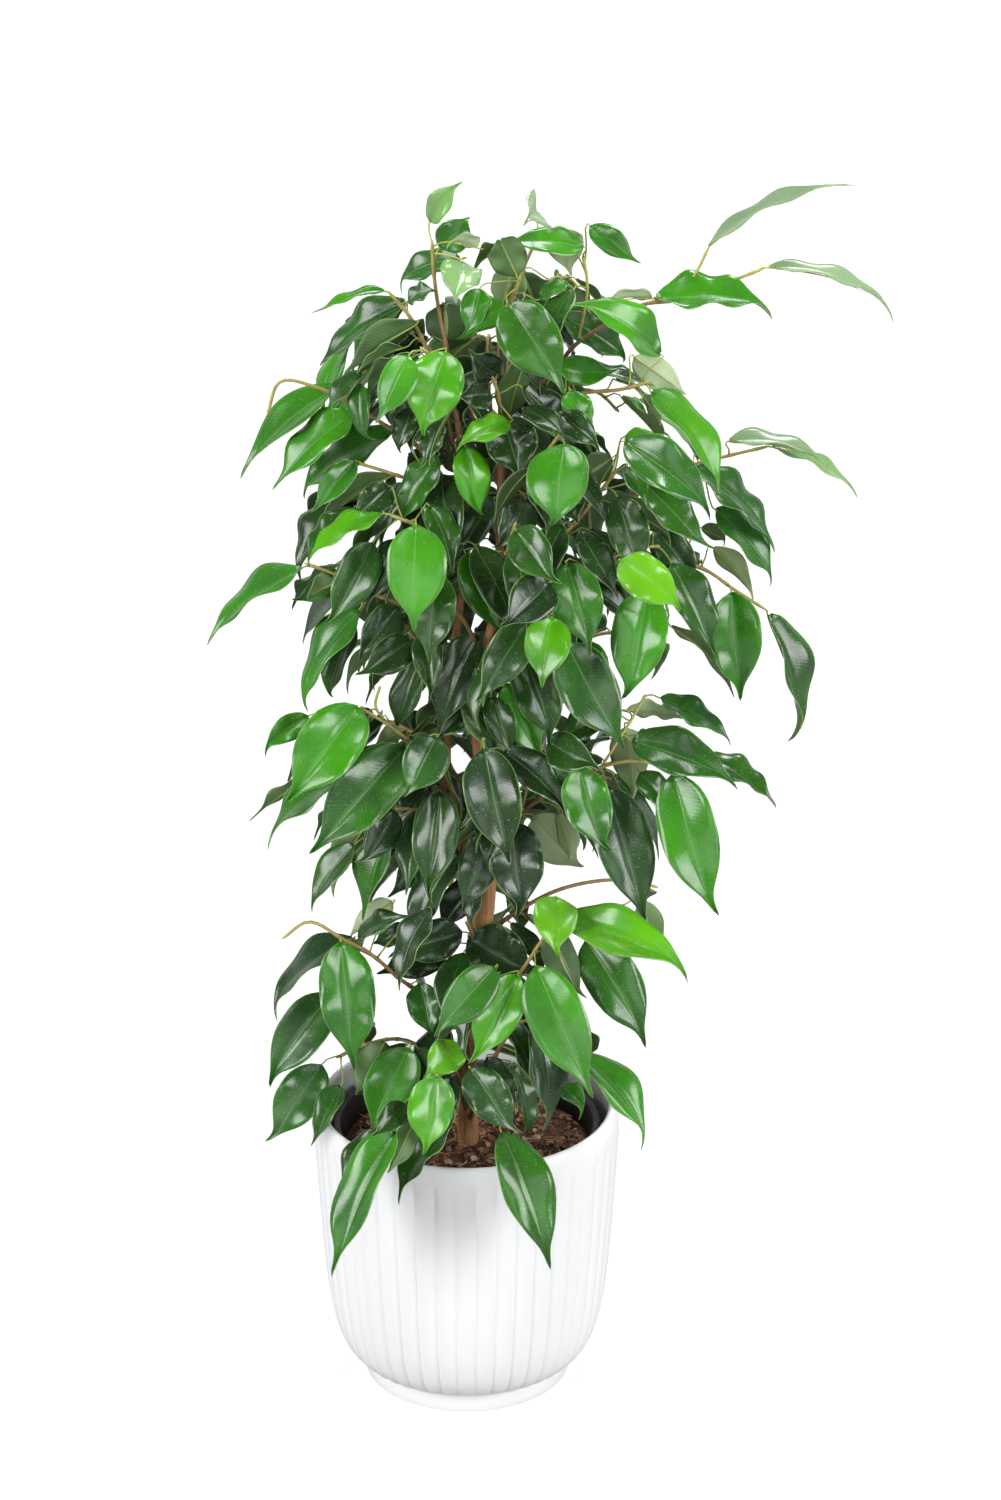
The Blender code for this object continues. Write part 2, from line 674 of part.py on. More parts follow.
def pot_inside():
    """Outline of the cachepot's hollow as radius and height, from its mouth down to its floor."""
    inner = POT_RADIUS - POT_WALL - 0.0005
    return (
        (0.1036, POT_HEIGHT + 0.001), (0.1020, 0.2125), (inner, 0.190), (0.0935, 0.050),
        (0.0865, 0.031), (0.0790, POT_FLOOR),
    )


def turned_shell(profile, steps=48):
    """Points and faces of a turned wall, which stands for the pot when leaves are fitted round it."""
    points, faces = [], []
    for radius, height in profile:
        for step in range(steps):
            turn = math.tau * step / steps
            points.append(Vector((radius * math.cos(turn), radius * math.sin(turn), height)))
    for ring in range(len(profile) - 1):
        for step in range(steps):
            here = ring * steps + step
            beside = ring * steps + (step + 1) % steps
            faces.append((here, beside, beside + steps, here + steps))
    return points, faces


def lid_shell(radius, height):
    """Points and faces of a flat disc, which stands for the soil."""
    corners = 24
    points = [Vector((0.0, 0.0, height))]
    for step in range(corners):
        turn = math.tau * step / corners
        points.append(Vector((radius * math.cos(turn), radius * math.sin(turn), height)))
    return points, [(0, 1 + step, 1 + (step + 1) % corners) for step in range(corners)]


def leaf_places(twig, number):
    """Places along a twig where leaves may root, away from its start and its end."""
    return walk_route(twig, 29)[4 if number else 6:-1]


def leaf_face(base, axis, tilt):
    """The way a leaf's upper side looks, turned about its axis from the camera and up or outward."""
    view = (CAMERA_PLACE - base).normalized()
    front = (view - axis * view.dot(axis)).normalized()
    outward = Vector((base.x, base.y, 0.06)).normalized()
    choices = [Matrix.Rotation(turn, 3, axis) @ front for turn in (tilt, -tilt)]
    return max(choices, key=lambda face: face.z + 0.6 * face.dot(outward))


class Canopy:
    """Places every twig and leaf, each clear of all that was placed before it."""

    def __init__(self):
        self.random = random.Random(SEED)
        self.stems = stem_routes()
        self.solids = []
        self.bark = []
        for places, radii in self.stems:
            self.bark.append(Solid(*tube_shell(places, [radius + 0.2 * MM for radius in radii], 10)))
            self.solids.append(Solid(*tube_shell(places, [radius * 1.05 + GAP for radius in radii], 10)))
        self.solids.append(Solid(*turned_shell((*pot_outside(), *pot_inside()))))
        nursery = ((NURSERY_TOP_RADIUS, 0.150), (NURSERY_RIM_RADIUS, NURSERY_TOP_Z - 0.010),
                   (NURSERY_RIM_RADIUS, NURSERY_TOP_Z), (NURSERY_TOP_RADIUS, NURSERY_TOP_Z),
                   (NURSERY_TOP_RADIUS - NURSERY_WALL, 0.150))
        self.solids.append(Solid(*turned_shell(nursery)))
        self.solids.append(Solid(*lid_shell(NURSERY_TOP_RADIUS, SOIL_LEVEL + 2 * SOIL_ROUGHNESS)))
        self.branches = []
        self.outlines = []

    def is_clear(self, solid, owner=""):
        """Whether a shape touches nothing that is already placed, but for its owner's own twigs."""
        return not any(solid.touches(other) for other in self.solids if not owner or other.owner != owner)

    def rooted_route(self, guide, shift):
        """A twig's route from just off its stem through the guide's other points, moved by a shift."""
        best = None
        for places, radii in self.stems:
            distance, place, index, share = nearest_on(places, guide[0])
            if best is None or distance < best[0]:
                radius = radii[index] + (radii[index + 1] - radii[index]) * share
                best = (distance, place, (places[index + 1] - places[index]).normalized(), radius)
        _, place, along, radius = best
        away = guide[1] + shift - place
        away = (away - along * away.dot(along)).normalized()
        start = place + away * (radius + TWIG_GAP)
        moved = [point + shift * min(1.0, 0.4 + 0.3 * index) for index, point in enumerate(guide[1:])]
        return [start, start + away * TWIG_FOOT, *moved]

    def place_twig(self, guide, owner):
        """A smooth twig and its radii, moved forward or back until it is clear of the others."""
        reach = sum((after - before).length for before, after in zip(guide, guide[1:]))
        for shift_mm in TWIG_SHIFTS_MM:
            for lift_mm in TWIG_LIFTS_MM:
                route = self.rooted_route(guide, Vector((0.0, shift_mm, lift_mm)) * MM)
                twig = [route[0], *smooth_route(route[1:], 2 + math.ceil(reach / TWIG_STEP))]
                thin = (TWIG_RADII[1] - TWIG_RADII[0]) / (len(twig) - 1)
                radii = [TWIG_RADII[0] + thin * index for index in range(len(twig))]
                shortened = [twig[0].lerp(twig[1], 0.5), *twig[1:]]
                whole = Solid(*tube_shell(twig, radii), owner)
                if any(whole.touches(stem) for stem in self.bark):
                    continue
                if self.is_clear(Solid(*tube_shell(shortened, [radius + CLEARANCE for radius in radii]))):
                    self.solids.append(whole)
                    return twig, radii
        return None

    def place_side_twig(self, guide, main, owner):
        """A side twig that roots in the middle of its main twig."""
        _, place, _, _ = nearest_on(main[0], guide[0])
        route = smooth_route([place, *guide[1:]], max(4, len(guide)))
        self.solids.append(Solid(*tube_shell(route, [SIDE_TWIG_RADIUS] * len(route)), owner))
        return route, [SIDE_TWIG_RADIUS] * len(route)

    def place_leaf(self, branch, blade_of, tries):
        """Add a leaf to a branch at the first of its trial positions that is clear, if one is."""
        for trial in range(tries):
            blade = blade_of(trial, branch)
            if blade is None or crosses_itself(*blade.loft()):
                continue
            if not self.is_clear(Solid(*blade.blade_solid(CLEARANCE)), branch.name):
                continue
            if self.is_clear(Solid(*blade.stalk_solid()), branch.name):
                self.solids.append(Solid(*blade.blade_solid(0.3 * MM)))
                self.solids.append(Solid(*blade.stalk_solid()))
                branch.blades.append(blade)
                return

    def root_on(self, branch, base, way):
        """Where a leaf with its base and way here leaves the twigs, clear of the other leaves' roots."""
        taken = [blade.root for blade in branch.blades]
        best = None
        for number, (twig, _) in enumerate(branch.twigs):
            for place in leaf_places(twig, number):
                stalk = base - place
                crowding = sum(CROWDING_COST for other in taken if (place - other).length < ROOT_SPACING)
                bend = 1.0 - stalk.dot(way) / max(stalk.length, 1e-6)
                cost = stalk.length + crowding + bend * STALK_BEND_COST
                if best is None or cost < best[0]:
                    best = (cost, place)
        return best[1]

    def twig_depth(self, branch, base_px):
        """Depth of the place on a branch's twigs that shows nearest a pixel."""
        best = None
        for number, (twig, _) in enumerate(branch.twigs):
            for place in leaf_places(twig, number):
                distance = (photo_point(*base_px, place.y / MM) - place).length
                if best is None or distance < best[0]:
                    best = (distance, place.y)
        return best[1]

    def photo_blade(self, leaf):
        """A function that gives the trial positions of a leaf read from the photograph."""

        def blade_of(trial, branch):
            variant, slide = divmod(trial, len(SLIDES_MM))
            turn, lean = divmod(variant, len(LEANS))
            depth = self.twig_depth(branch, leaf.base_px) / MM - leaf.near_mm + SLIDES_MM[slide]
            base = photo_point(*leaf.base_px, depth)
            seen = (photo_point(*leaf.tip_px, depth) - base).length
            length = max(seen * LEAST_SLANT, min(USUAL_BLADE, seen * MOST_SLANT))
            if leaf.long_mm:
                length = leaf.long_mm * MM
            slant = math.sqrt(max(0.0, length * length - seen * seen)) * LEANS[lean]
            slant *= -1.0 if depth < 6 else 1.0
            if not leaf.long_mm:
                slant *= min(1.0, 0.25 + abs(depth) / 60.0)
            tip = photo_point(*leaf.tip_px, depth + slant / MM)
            axis = (tip - base).normalized()
            width = min(max(BLADE_RATIO * (tip - base).length, BLADE_WIDTH_RANGE[0]), BLADE_WIDTH_RANGE[1])
            across = leaf.across_px / FOCAL_PX * (base - CAMERA_PLACE).length
            width = max(width, min(across, BLADE_WIDTH_RANGE[1] * 1.15))
            width = min(width, across * 2.2)
            tilt = math.acos(max(0.0, min(1.0, across / width))) + math.radians(TURNS[turn])
            face = leaf_face(base, axis, math.pi - tilt if leaf.under else tilt)
            root = self.root_on(branch, base, axis)
            if (base - root).length < SHORTEST_STALK:
                base = root + (base - root + axis * 0.8 * SHORTEST_STALK).normalized() * SHORTEST_STALK
            stations = FRONT_STATIONS if leaf.near_mm > -5 else REAR_STATIONS
            return Blade(root, base, tip, width, face, stations)

        return blade_of

    def hidden_blade(self, place, side, outward):
        """A function that gives the trial positions of a leaf placed by rule."""
        draw = self.random
        length = draw.uniform(*HIDDEN_LENGTHS)
        spreads = (SWING, ROLL, DROP)
        variants = [[draw.uniform(-most, most) for most in spreads] for _ in range(HIDDEN_TRIES)]

        def blade_of(trial, _):
            swing, roll, drop = variants[trial]
            way = Matrix.Rotation(math.radians(side * SIDE_ANGLE + swing), 3, "Z") @ outward
            stalk = (way + Vector((0.0, 0.0, 0.25))).normalized() * (10 + trial % 4 * 2) * MM
            axis = (way * 0.62 + Vector((0.0, 0.0, -0.78 + drop))).normalized()
            base = place + stalk
            tip = base + axis * length
            face = way * 0.78 + Vector((0.0, 0.0, 0.62))
            face = (face - axis * face.dot(axis)).normalized()
            face = Matrix.Rotation(math.radians(roll + side * 14.0), 3, axis) @ face
            width = min(BLADE_RATIO * length * 1.02, BLADE_WIDTH_RANGE[1])
            blade = Blade(place, base, tip, width, face, REAR_STATIONS)
            return blade if self.is_covered(blade) else None

        return blade_of

    def is_covered(self, blade):
        """Whether a leaf placed by rule shows only where the photograph has foliage."""
        seen = 0
        marks = ((0.1, 0.0), (0.3, 0.8), (0.3, -0.8), (0.6, 0.7), (0.6, -0.7), (0.85, 0.0), (1.0, 0.0))
        for share, reach in marks:
            place, across, _ = blade.frame(share)
            px, py = photo_pixel(place + across * (reach * 0.5 * blade.width))
            if any((px - x) ** 2 + (py - y) ** 2 < radius * radius for x, y, radius in OPENINGS):
                return False
            if self.foliage_at(px, py):
                seen += 1
        return seen >= len(marks) - 1

    def foliage_at(self, px, py):
        """Whether a pixel lies on a leaf read from the photograph, or close beside it."""
        for (ax, ay), (bx, by), half in self.outlines:
            dx, dy = bx - ax, by - ay
            share = max(0.0, min(1.0, ((px - ax) * dx + (py - ay) * dy) / (dx * dx + dy * dy)))
            taper = half * (1.0 - 0.75 * max(0.0, share - 0.5) / 0.5)
            if math.hypot(px - ax - dx * share, py - ay - dy * share) < taper + 3:
                return True
        return False

    def grow_photo_sprays(self):
        """Every spray that shows from the front: first all their twigs, then their leaves, nearest first."""
        waiting = []
        for spray in SPRAYS:
            twig = self.place_twig([photo_point(*point) for point in spray.route], spray.name)
            branch = Branch(spray.name, [twig], [])
            for side in spray.sides:
                guide = [photo_point(*point) for point in side]
                branch.twigs.append(self.place_side_twig(guide, twig, spray.name))
            self.branches.append(branch)
            for leaf in spray.leaves:
                self.outlines.append((leaf.base_px, leaf.tip_px, leaf.across_px / 2))
                waiting.append((leaf, branch))
        waiting.sort(key=lambda entry: -entry[0].near_mm)
        tries = len(SLIDES_MM) * len(LEANS) * len(TURNS)
        for leaf, branch in waiting:
            self.place_leaf(branch, self.photo_blade(leaf), tries)

    def grow_hidden_sprays(self):
        """Sprays by rule round the sides and back, where the photograph shows none."""
        missing = 0
        for number in range(HIDDEN_SPRAYS):
            share = (number + 0.5) / HIDDEN_SPRAYS
            height = HIDDEN_HEIGHTS[0] + (HIDDEN_HEIGHTS[1] - HIDDEN_HEIGHTS[0]) * share
            spread = (number * GOLDEN_SHARE) % 1.0
            turn = math.radians(HIDDEN_ANGLES[0] + (HIDDEN_ANGLES[1] - HIDDEN_ANGLES[0]) * spread)
            outward = Vector((math.cos(turn), math.sin(turn), 0.0))
            reach = self.random.uniform(*HIDDEN_REACH) * (1.0 - 0.25 * max(0.0, share - 0.6))
            start = Vector((0.015, 0.012, height))
            rise = Vector((0.0, 0.0, 0.030 + 0.055 * share))
            guide = [
                start, start + outward * reach * 0.35 + rise * 0.75, start + outward * reach * 0.72 + rise,
                start + outward * reach + rise * 0.72,
            ]
            branch = Branch(f"rear_{number + 1 - missing:02d}", [], [])
            twig = self.place_twig(guide, branch.name)
            if twig is None:
                missing += 1
                continue
            branch.twigs.append(twig)
            places = walk_route(twig[0][1:], HIDDEN_LEAVES)
            for index, place in enumerate(places[1:]):
                ahead = places[min(index + 2, len(places) - 1)] - places[index]
                ahead.z = 0.0
                side = 0 if index == len(places) - 2 else (1 if index % 2 else -1)
                root = place if side else places[-1].lerp(places[-2], 0.25)
                blade_of = self.hidden_blade(root, side, ahead.normalized())
                self.place_leaf(branch, blade_of, HIDDEN_TRIES)
            self.branches.append(branch)

    def grow(self):
        """All the branches, from the front to the back."""
        self.grow_photo_sprays()
        self.grow_hidden_sprays()
        return self.branches


def clear_scene():
    """Remove what the file holds."""
    for thing in list(bpy.data.objects):
        bpy.data.objects.remove(thing)


def new_collection(name):
    """A collection linked to the scene."""
    collection = bpy.data.collections.new(name)
    bpy.context.scene.collection.children.link(collection)
    return collection


def make_material(name, colour, roughness):
    """A Principled material of one colour."""
    material = bpy.data.materials.new(name)
    material.use_nodes = True
    shader = material.node_tree.nodes["Principled BSDF"]
    shader.inputs["Base Color"].default_value = (*colour, 1.0)
    shader.inputs["Roughness"].default_value = roughness
    return material


def mesh_object(name, points, faces, material, collection):
    """An object from points and faces, with its faces looking out."""
    mesh = bpy.data.meshes.new(name)
    mesh.from_pydata([tuple(point) for point in points], [], faces)
    shape = bmesh.new()
    shape.from_mesh(mesh)
    bmesh.ops.recalc_face_normals(shape, faces=shape.faces)
    shape.to_mesh(mesh)
    shape.free()
    mesh.materials.append(material)
    thing = bpy.data.objects.new(name, mesh)
    collection.objects.link(thing)
    return thing


def turned_object(name, profile, steps, material, collection):
    """A solid turned from a profile of radius and height, as a mesh with a closed skin."""
    mesh = bpy.data.meshes.new(name)
    points = [(radius, 0.0, height) for radius, height in profile]
    mesh.from_pydata(points, [(index, index + 1) for index in range(len(points) - 1)], [])
    thing = bpy.data.objects.new(name, mesh)
    collection.objects.link(thing)
    screw = thing.modifiers.new("turn", "SCREW")
    screw.axis = "Z"
    screw.steps = steps
    screw.render_steps = steps
    screw.use_merge_vertices = True
    screw.merge_threshold = 0.00005
    apply_modifiers(thing)
    shape = bmesh.new()
    shape.from_mesh(thing.data)
    bmesh.ops.recalc_face_normals(shape, faces=shape.faces)
    shape.to_mesh(thing.data)
    shape.free()
    thing.data.materials.append(material)
    return thing


def apply_modifiers(thing):
    """Make an object's evaluated mesh its own and drop the modifiers."""
    evaluated = thing.evaluated_get(bpy.context.evaluated_depsgraph_get())
    mesh = bpy.data.meshes.new_from_object(evaluated)
    thing.modifiers.clear()
    thing.data = mesh


def wood_object(name, route, radii, resolution, material, collection):
    """A round length of wood along a route, made a mesh with its end caps welded on."""
    curve = bpy.data.curves.new(name, "CURVE")
    curve.dimensions = "3D"
    curve.bevel_depth = 1.0
    curve.bevel_resolution = resolution
    curve.use_fill_caps = True
    spline = curve.splines.new("POLY")
    spline.points.add(len(route) - 1)
    for point, place, radius in zip(spline.points, route, radii):
        point.co = (*place, 1.0)
        point.radius = radius
    guide = bpy.data.objects.new(name + "_line", curve)
    collection.objects.link(guide)
    mesh = bpy.data.meshes.new_from_object(guide.evaluated_get(bpy.context.evaluated_depsgraph_get()))
    shape = bmesh.new()
    shape.from_mesh(mesh)
    bmesh.ops.remove_doubles(shape, verts=shape.verts, dist=0.00001)
    bmesh.ops.recalc_face_normals(shape, faces=shape.faces)
    shape.to_mesh(mesh)
    shape.free()
    mesh.materials.clear()
    mesh.materials.append(material)
    thing = bpy.data.objects.new(name, mesh)
    thing.matrix_world = guide.matrix_world
    bpy.data.objects.remove(guide)
    collection.objects.link(thing)
    return thing


def join_pieces(thing, pieces):
    """One Boolean union of a thing and the pieces that grow from it."""
    if not pieces:
        return
    group = new_collection(thing.name + "_pieces")
    for piece in pieces:
        for old in list(piece.users_collection):
            old.objects.unlink(piece)
        group.objects.link(piece)
    union = thing.modifiers.new("grow together", "BOOLEAN")
    union.operation = "UNION"
    union.operand_type = "COLLECTION"
    union.collection = group
    union.solver = "MANIFOLD"
    apply_modifiers(thing)
    for piece in pieces:
        bpy.data.objects.remove(piece)
    bpy.data.collections.remove(group)


def cut_hole(thing, cutter):
    """Cut one shape out of another and drop the cutter."""
    cut = thing.modifiers.new("hole", "BOOLEAN")
    cut.operation = "DIFFERENCE"
    cut.object = cutter
    cut.solver = "EXACT"
    apply_modifiers(thing)
    bpy.data.objects.remove(cutter)


def make_cutter(name, place, radius, height, corners, cutters):
    """An upright round cutter."""
    mesh = bpy.data.meshes.new(name)
    shape = bmesh.new()
    bmesh.ops.create_cone(
        shape, cap_ends=True, segments=corners, radius1=radius, radius2=radius, depth=height,
        matrix=Matrix.Translation(place),
    )
    shape.to_mesh(mesh)
    shape.free()
    cutter = bpy.data.objects.new(name, mesh)
    cutter.hide_render = True
    cutter.display_type = "WIRE"
    cutters.objects.link(cutter)
    return cutter


def build_cachepot(material, collection, cutters):
    """The white outer pot, its outside pressed into upright ribs between a plain foot and a plain rim."""
    profile = [(0.0, 0.0), *pot_outside(), (0.0, POT_HEIGHT)]
    pot = turned_object("cachepot", profile, 2 * POT_RIBS, material, collection)
    for vertex in pot.data.vertices:
        radius = math.hypot(vertex.co.x, vertex.co.y)
        step = round(math.atan2(vertex.co.y, vertex.co.x) / math.tau * 2 * POT_RIBS)
        if step % 2 and POT_FOOT_HEIGHT + 0.0005 < vertex.co.z < RIB_TOP:
            shrink = 1.0 - RIB_DEPTH / radius
            vertex.co.x *= shrink
            vertex.co.y *= shrink
    profile = [(0.0, POT_HEIGHT + 0.001), *pot_inside(), (0.0, POT_FLOOR)]
    hollow = turned_object("hollow", profile, POT_RIBS, material, cutters)
    hollow.hide_render = True
    hollow.display_type = "WIRE"
    cut_hole(pot, hollow)
    return pot


def nursery_inside(height):
    """Radius of the nursery pot's hollow at a height."""
    floor = NURSERY_FOOT_Z + NURSERY_FLOOR
    share = (height - floor) / (NURSERY_TOP_Z - floor)
    return NURSERY_FOOT_RADIUS - NURSERY_WALL + (NURSERY_TOP_RADIUS - NURSERY_FOOT_RADIUS) * share


def build_nursery_pot(material, collection, cutters):
    """The black pot that the fig was sold in, with a rolled rim and holes in its floor."""
    floor = NURSERY_FOOT_Z + NURSERY_FLOOR
    lip = NURSERY_TOP_Z - 0.002
    profile = (
        (0.0, NURSERY_FOOT_Z), (NURSERY_FOOT_RADIUS, NURSERY_FOOT_Z),
        (NURSERY_TOP_RADIUS, NURSERY_TOP_Z - 0.014), (NURSERY_RIM_RADIUS, NURSERY_TOP_Z - 0.012),
        (NURSERY_RIM_RADIUS, NURSERY_TOP_Z - 0.001), (NURSERY_RIM_RADIUS - 0.0015, NURSERY_TOP_Z),
        (nursery_inside(lip), lip), (nursery_inside(floor), floor), (0.0, floor),
    )
    pot = turned_object("nursery_pot", profile, NURSERY_STEPS, material, collection)
    for number in range(DRAIN_COUNT):
        turn = math.tau * number / DRAIN_COUNT
        place = Vector((DRAIN_RING * math.cos(turn), DRAIN_RING * math.sin(turn), NURSERY_FOOT_Z))
        cut_hole(pot, make_cutter("drain_hole", place, DRAIN_RADIUS, 0.02, 8, cutters))
    return pot


def build_soil(trunk_route, material, collection, cutters):
    """The coarse potting soil, uneven on top, with a plain hole for the trunk."""
    floor = NURSERY_FOOT_Z + NURSERY_FLOOR + GAP
    profile = (
        (0.0, floor), (nursery_inside(floor) - 1.5 * GAP, floor),
        (nursery_inside(SOIL_LEVEL) - 1.5 * GAP, SOIL_LEVEL), (0.076, SOIL_LEVEL), (0.055, SOIL_LEVEL),
        (0.034, SOIL_LEVEL), (0.017, SOIL_LEVEL), (0.0, SOIL_LEVEL),
    )
    soil = turned_object("soil", profile, NURSERY_STEPS, material, collection)
    draw = random.Random(SEED + 1)
    for vertex in soil.data.vertices:
        radius = math.hypot(vertex.co.x, vertex.co.y)
        if vertex.co.z > SOIL_LEVEL - 0.0005 and 0.02 < radius < 0.08:
            vertex.co.z += draw.uniform(-SOIL_ROUGHNESS, SOIL_ROUGHNESS)
    places, radii = trunk_route
    middle = (places[0] + places[1]) * 0.5
    hole_radius = (radii[0] + 2 * GAP) / math.cos(math.pi / TRUNK_HOLE_SIDES)
    hole_foot = TRUNK_FOOT_Z - GAP
    height = SOIL_LEVEL + 0.03 - hole_foot
    place = Vector((middle.x, middle.y, hole_foot + height / 2))
    cut_hole(soil, make_cutter("trunk_hole", place, hole_radius, height, TRUNK_HOLE_SIDES, cutters))
    return soil


def build_trunk(routes, material, collection):
    """The trunk and its three leaders, grown together at the fork."""
    pieces = []
    for stem, (places, radii) in zip(STEMS, routes):
        pieces.append(wood_object(stem.name, places, radii, 2, material, collection))
    trunk = pieces[0]
    join_pieces(trunk, pieces[1:])
    return trunk


def build_branch(branch, material, collection):
    """One spray: its twigs and all its leaves as a single solid."""
    twig, radii = branch.twigs[0]
    spray = wood_object("leafy_" + branch.name, twig, radii, 0, material, collection)
    pieces = []
    for route, side_radii in branch.twigs[1:]:
        pieces.append(wood_object("side_twig", route, side_radii, 0, material, collection))
    for number, blade in enumerate(branch.blades):
        pieces.append(mesh_object(f"leaf_{number}", *blade.loft(), material, collection))
    join_pieces(spray, pieces)
    return spray


def main():
    """Build the potted fig from its pot up."""
    clear_scene()
    collection = new_collection("weeping_fig")
    cutters = new_collection("cutters")
    glaze = make_material("white_glaze", (0.86, 0.87, 0.88), 0.28)
    black = make_material("black_plastic", (0.02, 0.02, 0.022), 0.5)
    earth = make_material("potting_soil", (0.09, 0.045, 0.026), 0.95)
    bark = make_material("bark", (0.29, 0.16, 0.085), 0.8)
    leaf = make_material("leaf_green", (0.045, 0.16, 0.03), 0.3)
    canopy = Canopy()
    branches = canopy.grow()
    build_cachepot(glaze, collection, cutters)
    build_nursery_pot(black, collection, cutters)
    build_soil(canopy.stems[0], earth, collection, cutters)
    build_trunk(canopy.stems, bark, collection)
    for branch in branches:
        build_branch(branch, leaf, collection)


main()
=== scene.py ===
"""Dresses the potted weeping fig: leaves, twigs, bark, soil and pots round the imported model.

Units are metres, +Z is up and the front faces -Y. The leaves that show from the front are read from the
photograph, as pixels of its 1001 x 1500 frame, and are placed by the same rules as the solids' own. Further
leaves are then grown inside the crown, where the photograph shows it dense.
"""
import json
import logging
import math
import random
from dataclasses import dataclass, field, replace
from enum import Enum
from functools import partial
from typing import Callable, Optional, Sequence, Union

import bmesh
import bpy
import numpy as np
from mathutils import Matrix, Vector, noise
from mathutils.bvhtree import BVHTree

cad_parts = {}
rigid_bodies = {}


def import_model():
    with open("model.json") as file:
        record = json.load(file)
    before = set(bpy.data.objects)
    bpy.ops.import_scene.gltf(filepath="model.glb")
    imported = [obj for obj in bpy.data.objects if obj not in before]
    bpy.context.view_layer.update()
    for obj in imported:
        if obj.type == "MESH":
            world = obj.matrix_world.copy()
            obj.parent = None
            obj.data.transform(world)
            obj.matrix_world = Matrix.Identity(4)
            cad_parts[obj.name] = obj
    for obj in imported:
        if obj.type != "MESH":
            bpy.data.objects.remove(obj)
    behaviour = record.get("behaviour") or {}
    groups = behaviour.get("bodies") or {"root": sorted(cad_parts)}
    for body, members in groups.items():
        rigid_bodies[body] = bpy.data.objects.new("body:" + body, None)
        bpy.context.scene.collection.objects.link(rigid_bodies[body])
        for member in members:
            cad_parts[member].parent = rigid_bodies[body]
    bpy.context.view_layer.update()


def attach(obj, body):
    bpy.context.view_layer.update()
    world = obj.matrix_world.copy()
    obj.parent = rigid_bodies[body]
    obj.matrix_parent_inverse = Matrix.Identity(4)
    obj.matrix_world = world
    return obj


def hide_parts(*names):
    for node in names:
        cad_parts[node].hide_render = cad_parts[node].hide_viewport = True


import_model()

LOG = logging.getLogger("weeping_fig")

Piece = bpy.types.Object
Material = bpy.types.Material
Socket = bpy.types.NodeSocket
Route = list[Vector]
Section = tuple[Vector, Vector, Vector]
Faces = Sequence[tuple[int, ...]]
Shape = tuple[Route, Faces]
Twig = tuple[Route, list[float]]
Profile = Sequence[tuple[float, float]]
Colour = tuple[float, float, float]
Stops = tuple[tuple[float, Colour], ...]
Feed = Union[float, Colour, Socket]

MM = 0.001
GAP = 0.3 * MM

# Cachepot
POT_HEIGHT = 0.215
POT_RADIUS = 0.110
POT_FOOT_RADIUS = 0.0745
POT_FOOT_HEIGHT = 0.0155
POT_WALL = 0.004
POT_FLOOR = 0.021
POT_RIBS = 46

# Nursery pot and soil
NURSERY_FOOT_Z = POT_FLOOR + 0.0004
NURSERY_TOP_Z = 0.199
NURSERY_TOP_RADIUS = 0.0925
NURSERY_FOOT_RADIUS = 0.073
NURSERY_RIM_RADIUS = 0.0965
NURSERY_WALL = 0.0016
NURSERY_FLOOR = 0.0026
DRAIN_RADIUS = 0.005
DRAIN_RING = 0.045
DRAIN_COUNT = 4
SOIL_LEVEL = 0.180
SOIL_ROUGHNESS = 0.0022
TRUNK_FOOT_Z = 0.125

# The photograph's camera, which turns a pixel and a depth into a place
CAMERA_PLACE = Vector((0.0244, -3.0, 1.761))
CAMERA_PITCH = math.radians(23.0)
FOCAL_PX = 4683.0
PHOTO_CENTRE = (500.5, 750.0)

# Leaves
BLADE_RATIO = 0.42
BLADE_WIDTH_RANGE = (0.017, 0.037)
FRONT_STATIONS = ((0.14, 0.76), (0.42, 1.0), (0.75, 0.48))
REAR_STATIONS = ((0.20, 0.93), (0.60, 0.80))
DROOP = 0.10
KEEL = 0.0017
PETIOLE_RADIUS = 0.0009
ROOT_RADIUS = 0.0005
ROOT_SPACING = 0.0026
STALK_BEND_COST = 0.008
CROWDING_COST = 0.012
CLEARANCE = 0.0008
STEM_SWELL = 1.05
BARK_MARGIN = 0.2 * MM
TWIG_RADII = (0.0017, 0.0011)
SIDE_TWIG_RADIUS = 0.0010
TWIG_STEP = 0.034
TWIG_GAP = 0.0004
TWIG_FOOT = 0.004
SHORTEST_STALK = 0.005
USUAL_BLADE = 0.060
LEAST_SLANT = 1.05
MOST_SLANT = 1.22

# Tried in turn until a twig or a leaf is clear: mm behind its place and above it, share of its lean, degrees
TWIG_SHIFTS_MM = (0, -4, 4, -8, 8, -12, 12, -16, 16)
TWIG_LIFTS_MM = (0, 5, -5, 10, -10)
SLIDES_MM = (0, -5, 5, -10, 10, -15, 15, -20, 20, -26, 26, -32, 32)
LEANS = (1.0, 0.5, 0.0)
TURNS = (0.0, 10.0, -10.0)

# What the canopy leaves open from the front, as circles on the photograph: x, y, radius
OPENINGS = (
    (384, 462, 22), (330, 590, 14), (340, 690, 16), (385, 738, 14), (455, 760, 10), (610, 640, 14),
    (560, 885, 42), (545, 850, 20), (375, 985, 34), (395, 1025, 20), (300, 1050, 8), (690, 640, 30),
    (610, 410, 22), (620, 900, 24), (535, 270, 10), (320, 870, 30), (430, 1000, 6), (640, 860, 10),
)
# Sprays that the photograph hides: the heights where they leave the stems, their angles from +X and reach
HIDDEN_SPRAYS = 20
HIDDEN_HEIGHTS = (0.335, 0.735)
HIDDEN_ANGLES = (12.0, 168.0)
HIDDEN_REACH = (0.105, 0.150)
GOLDEN_SHARE = 0.381966

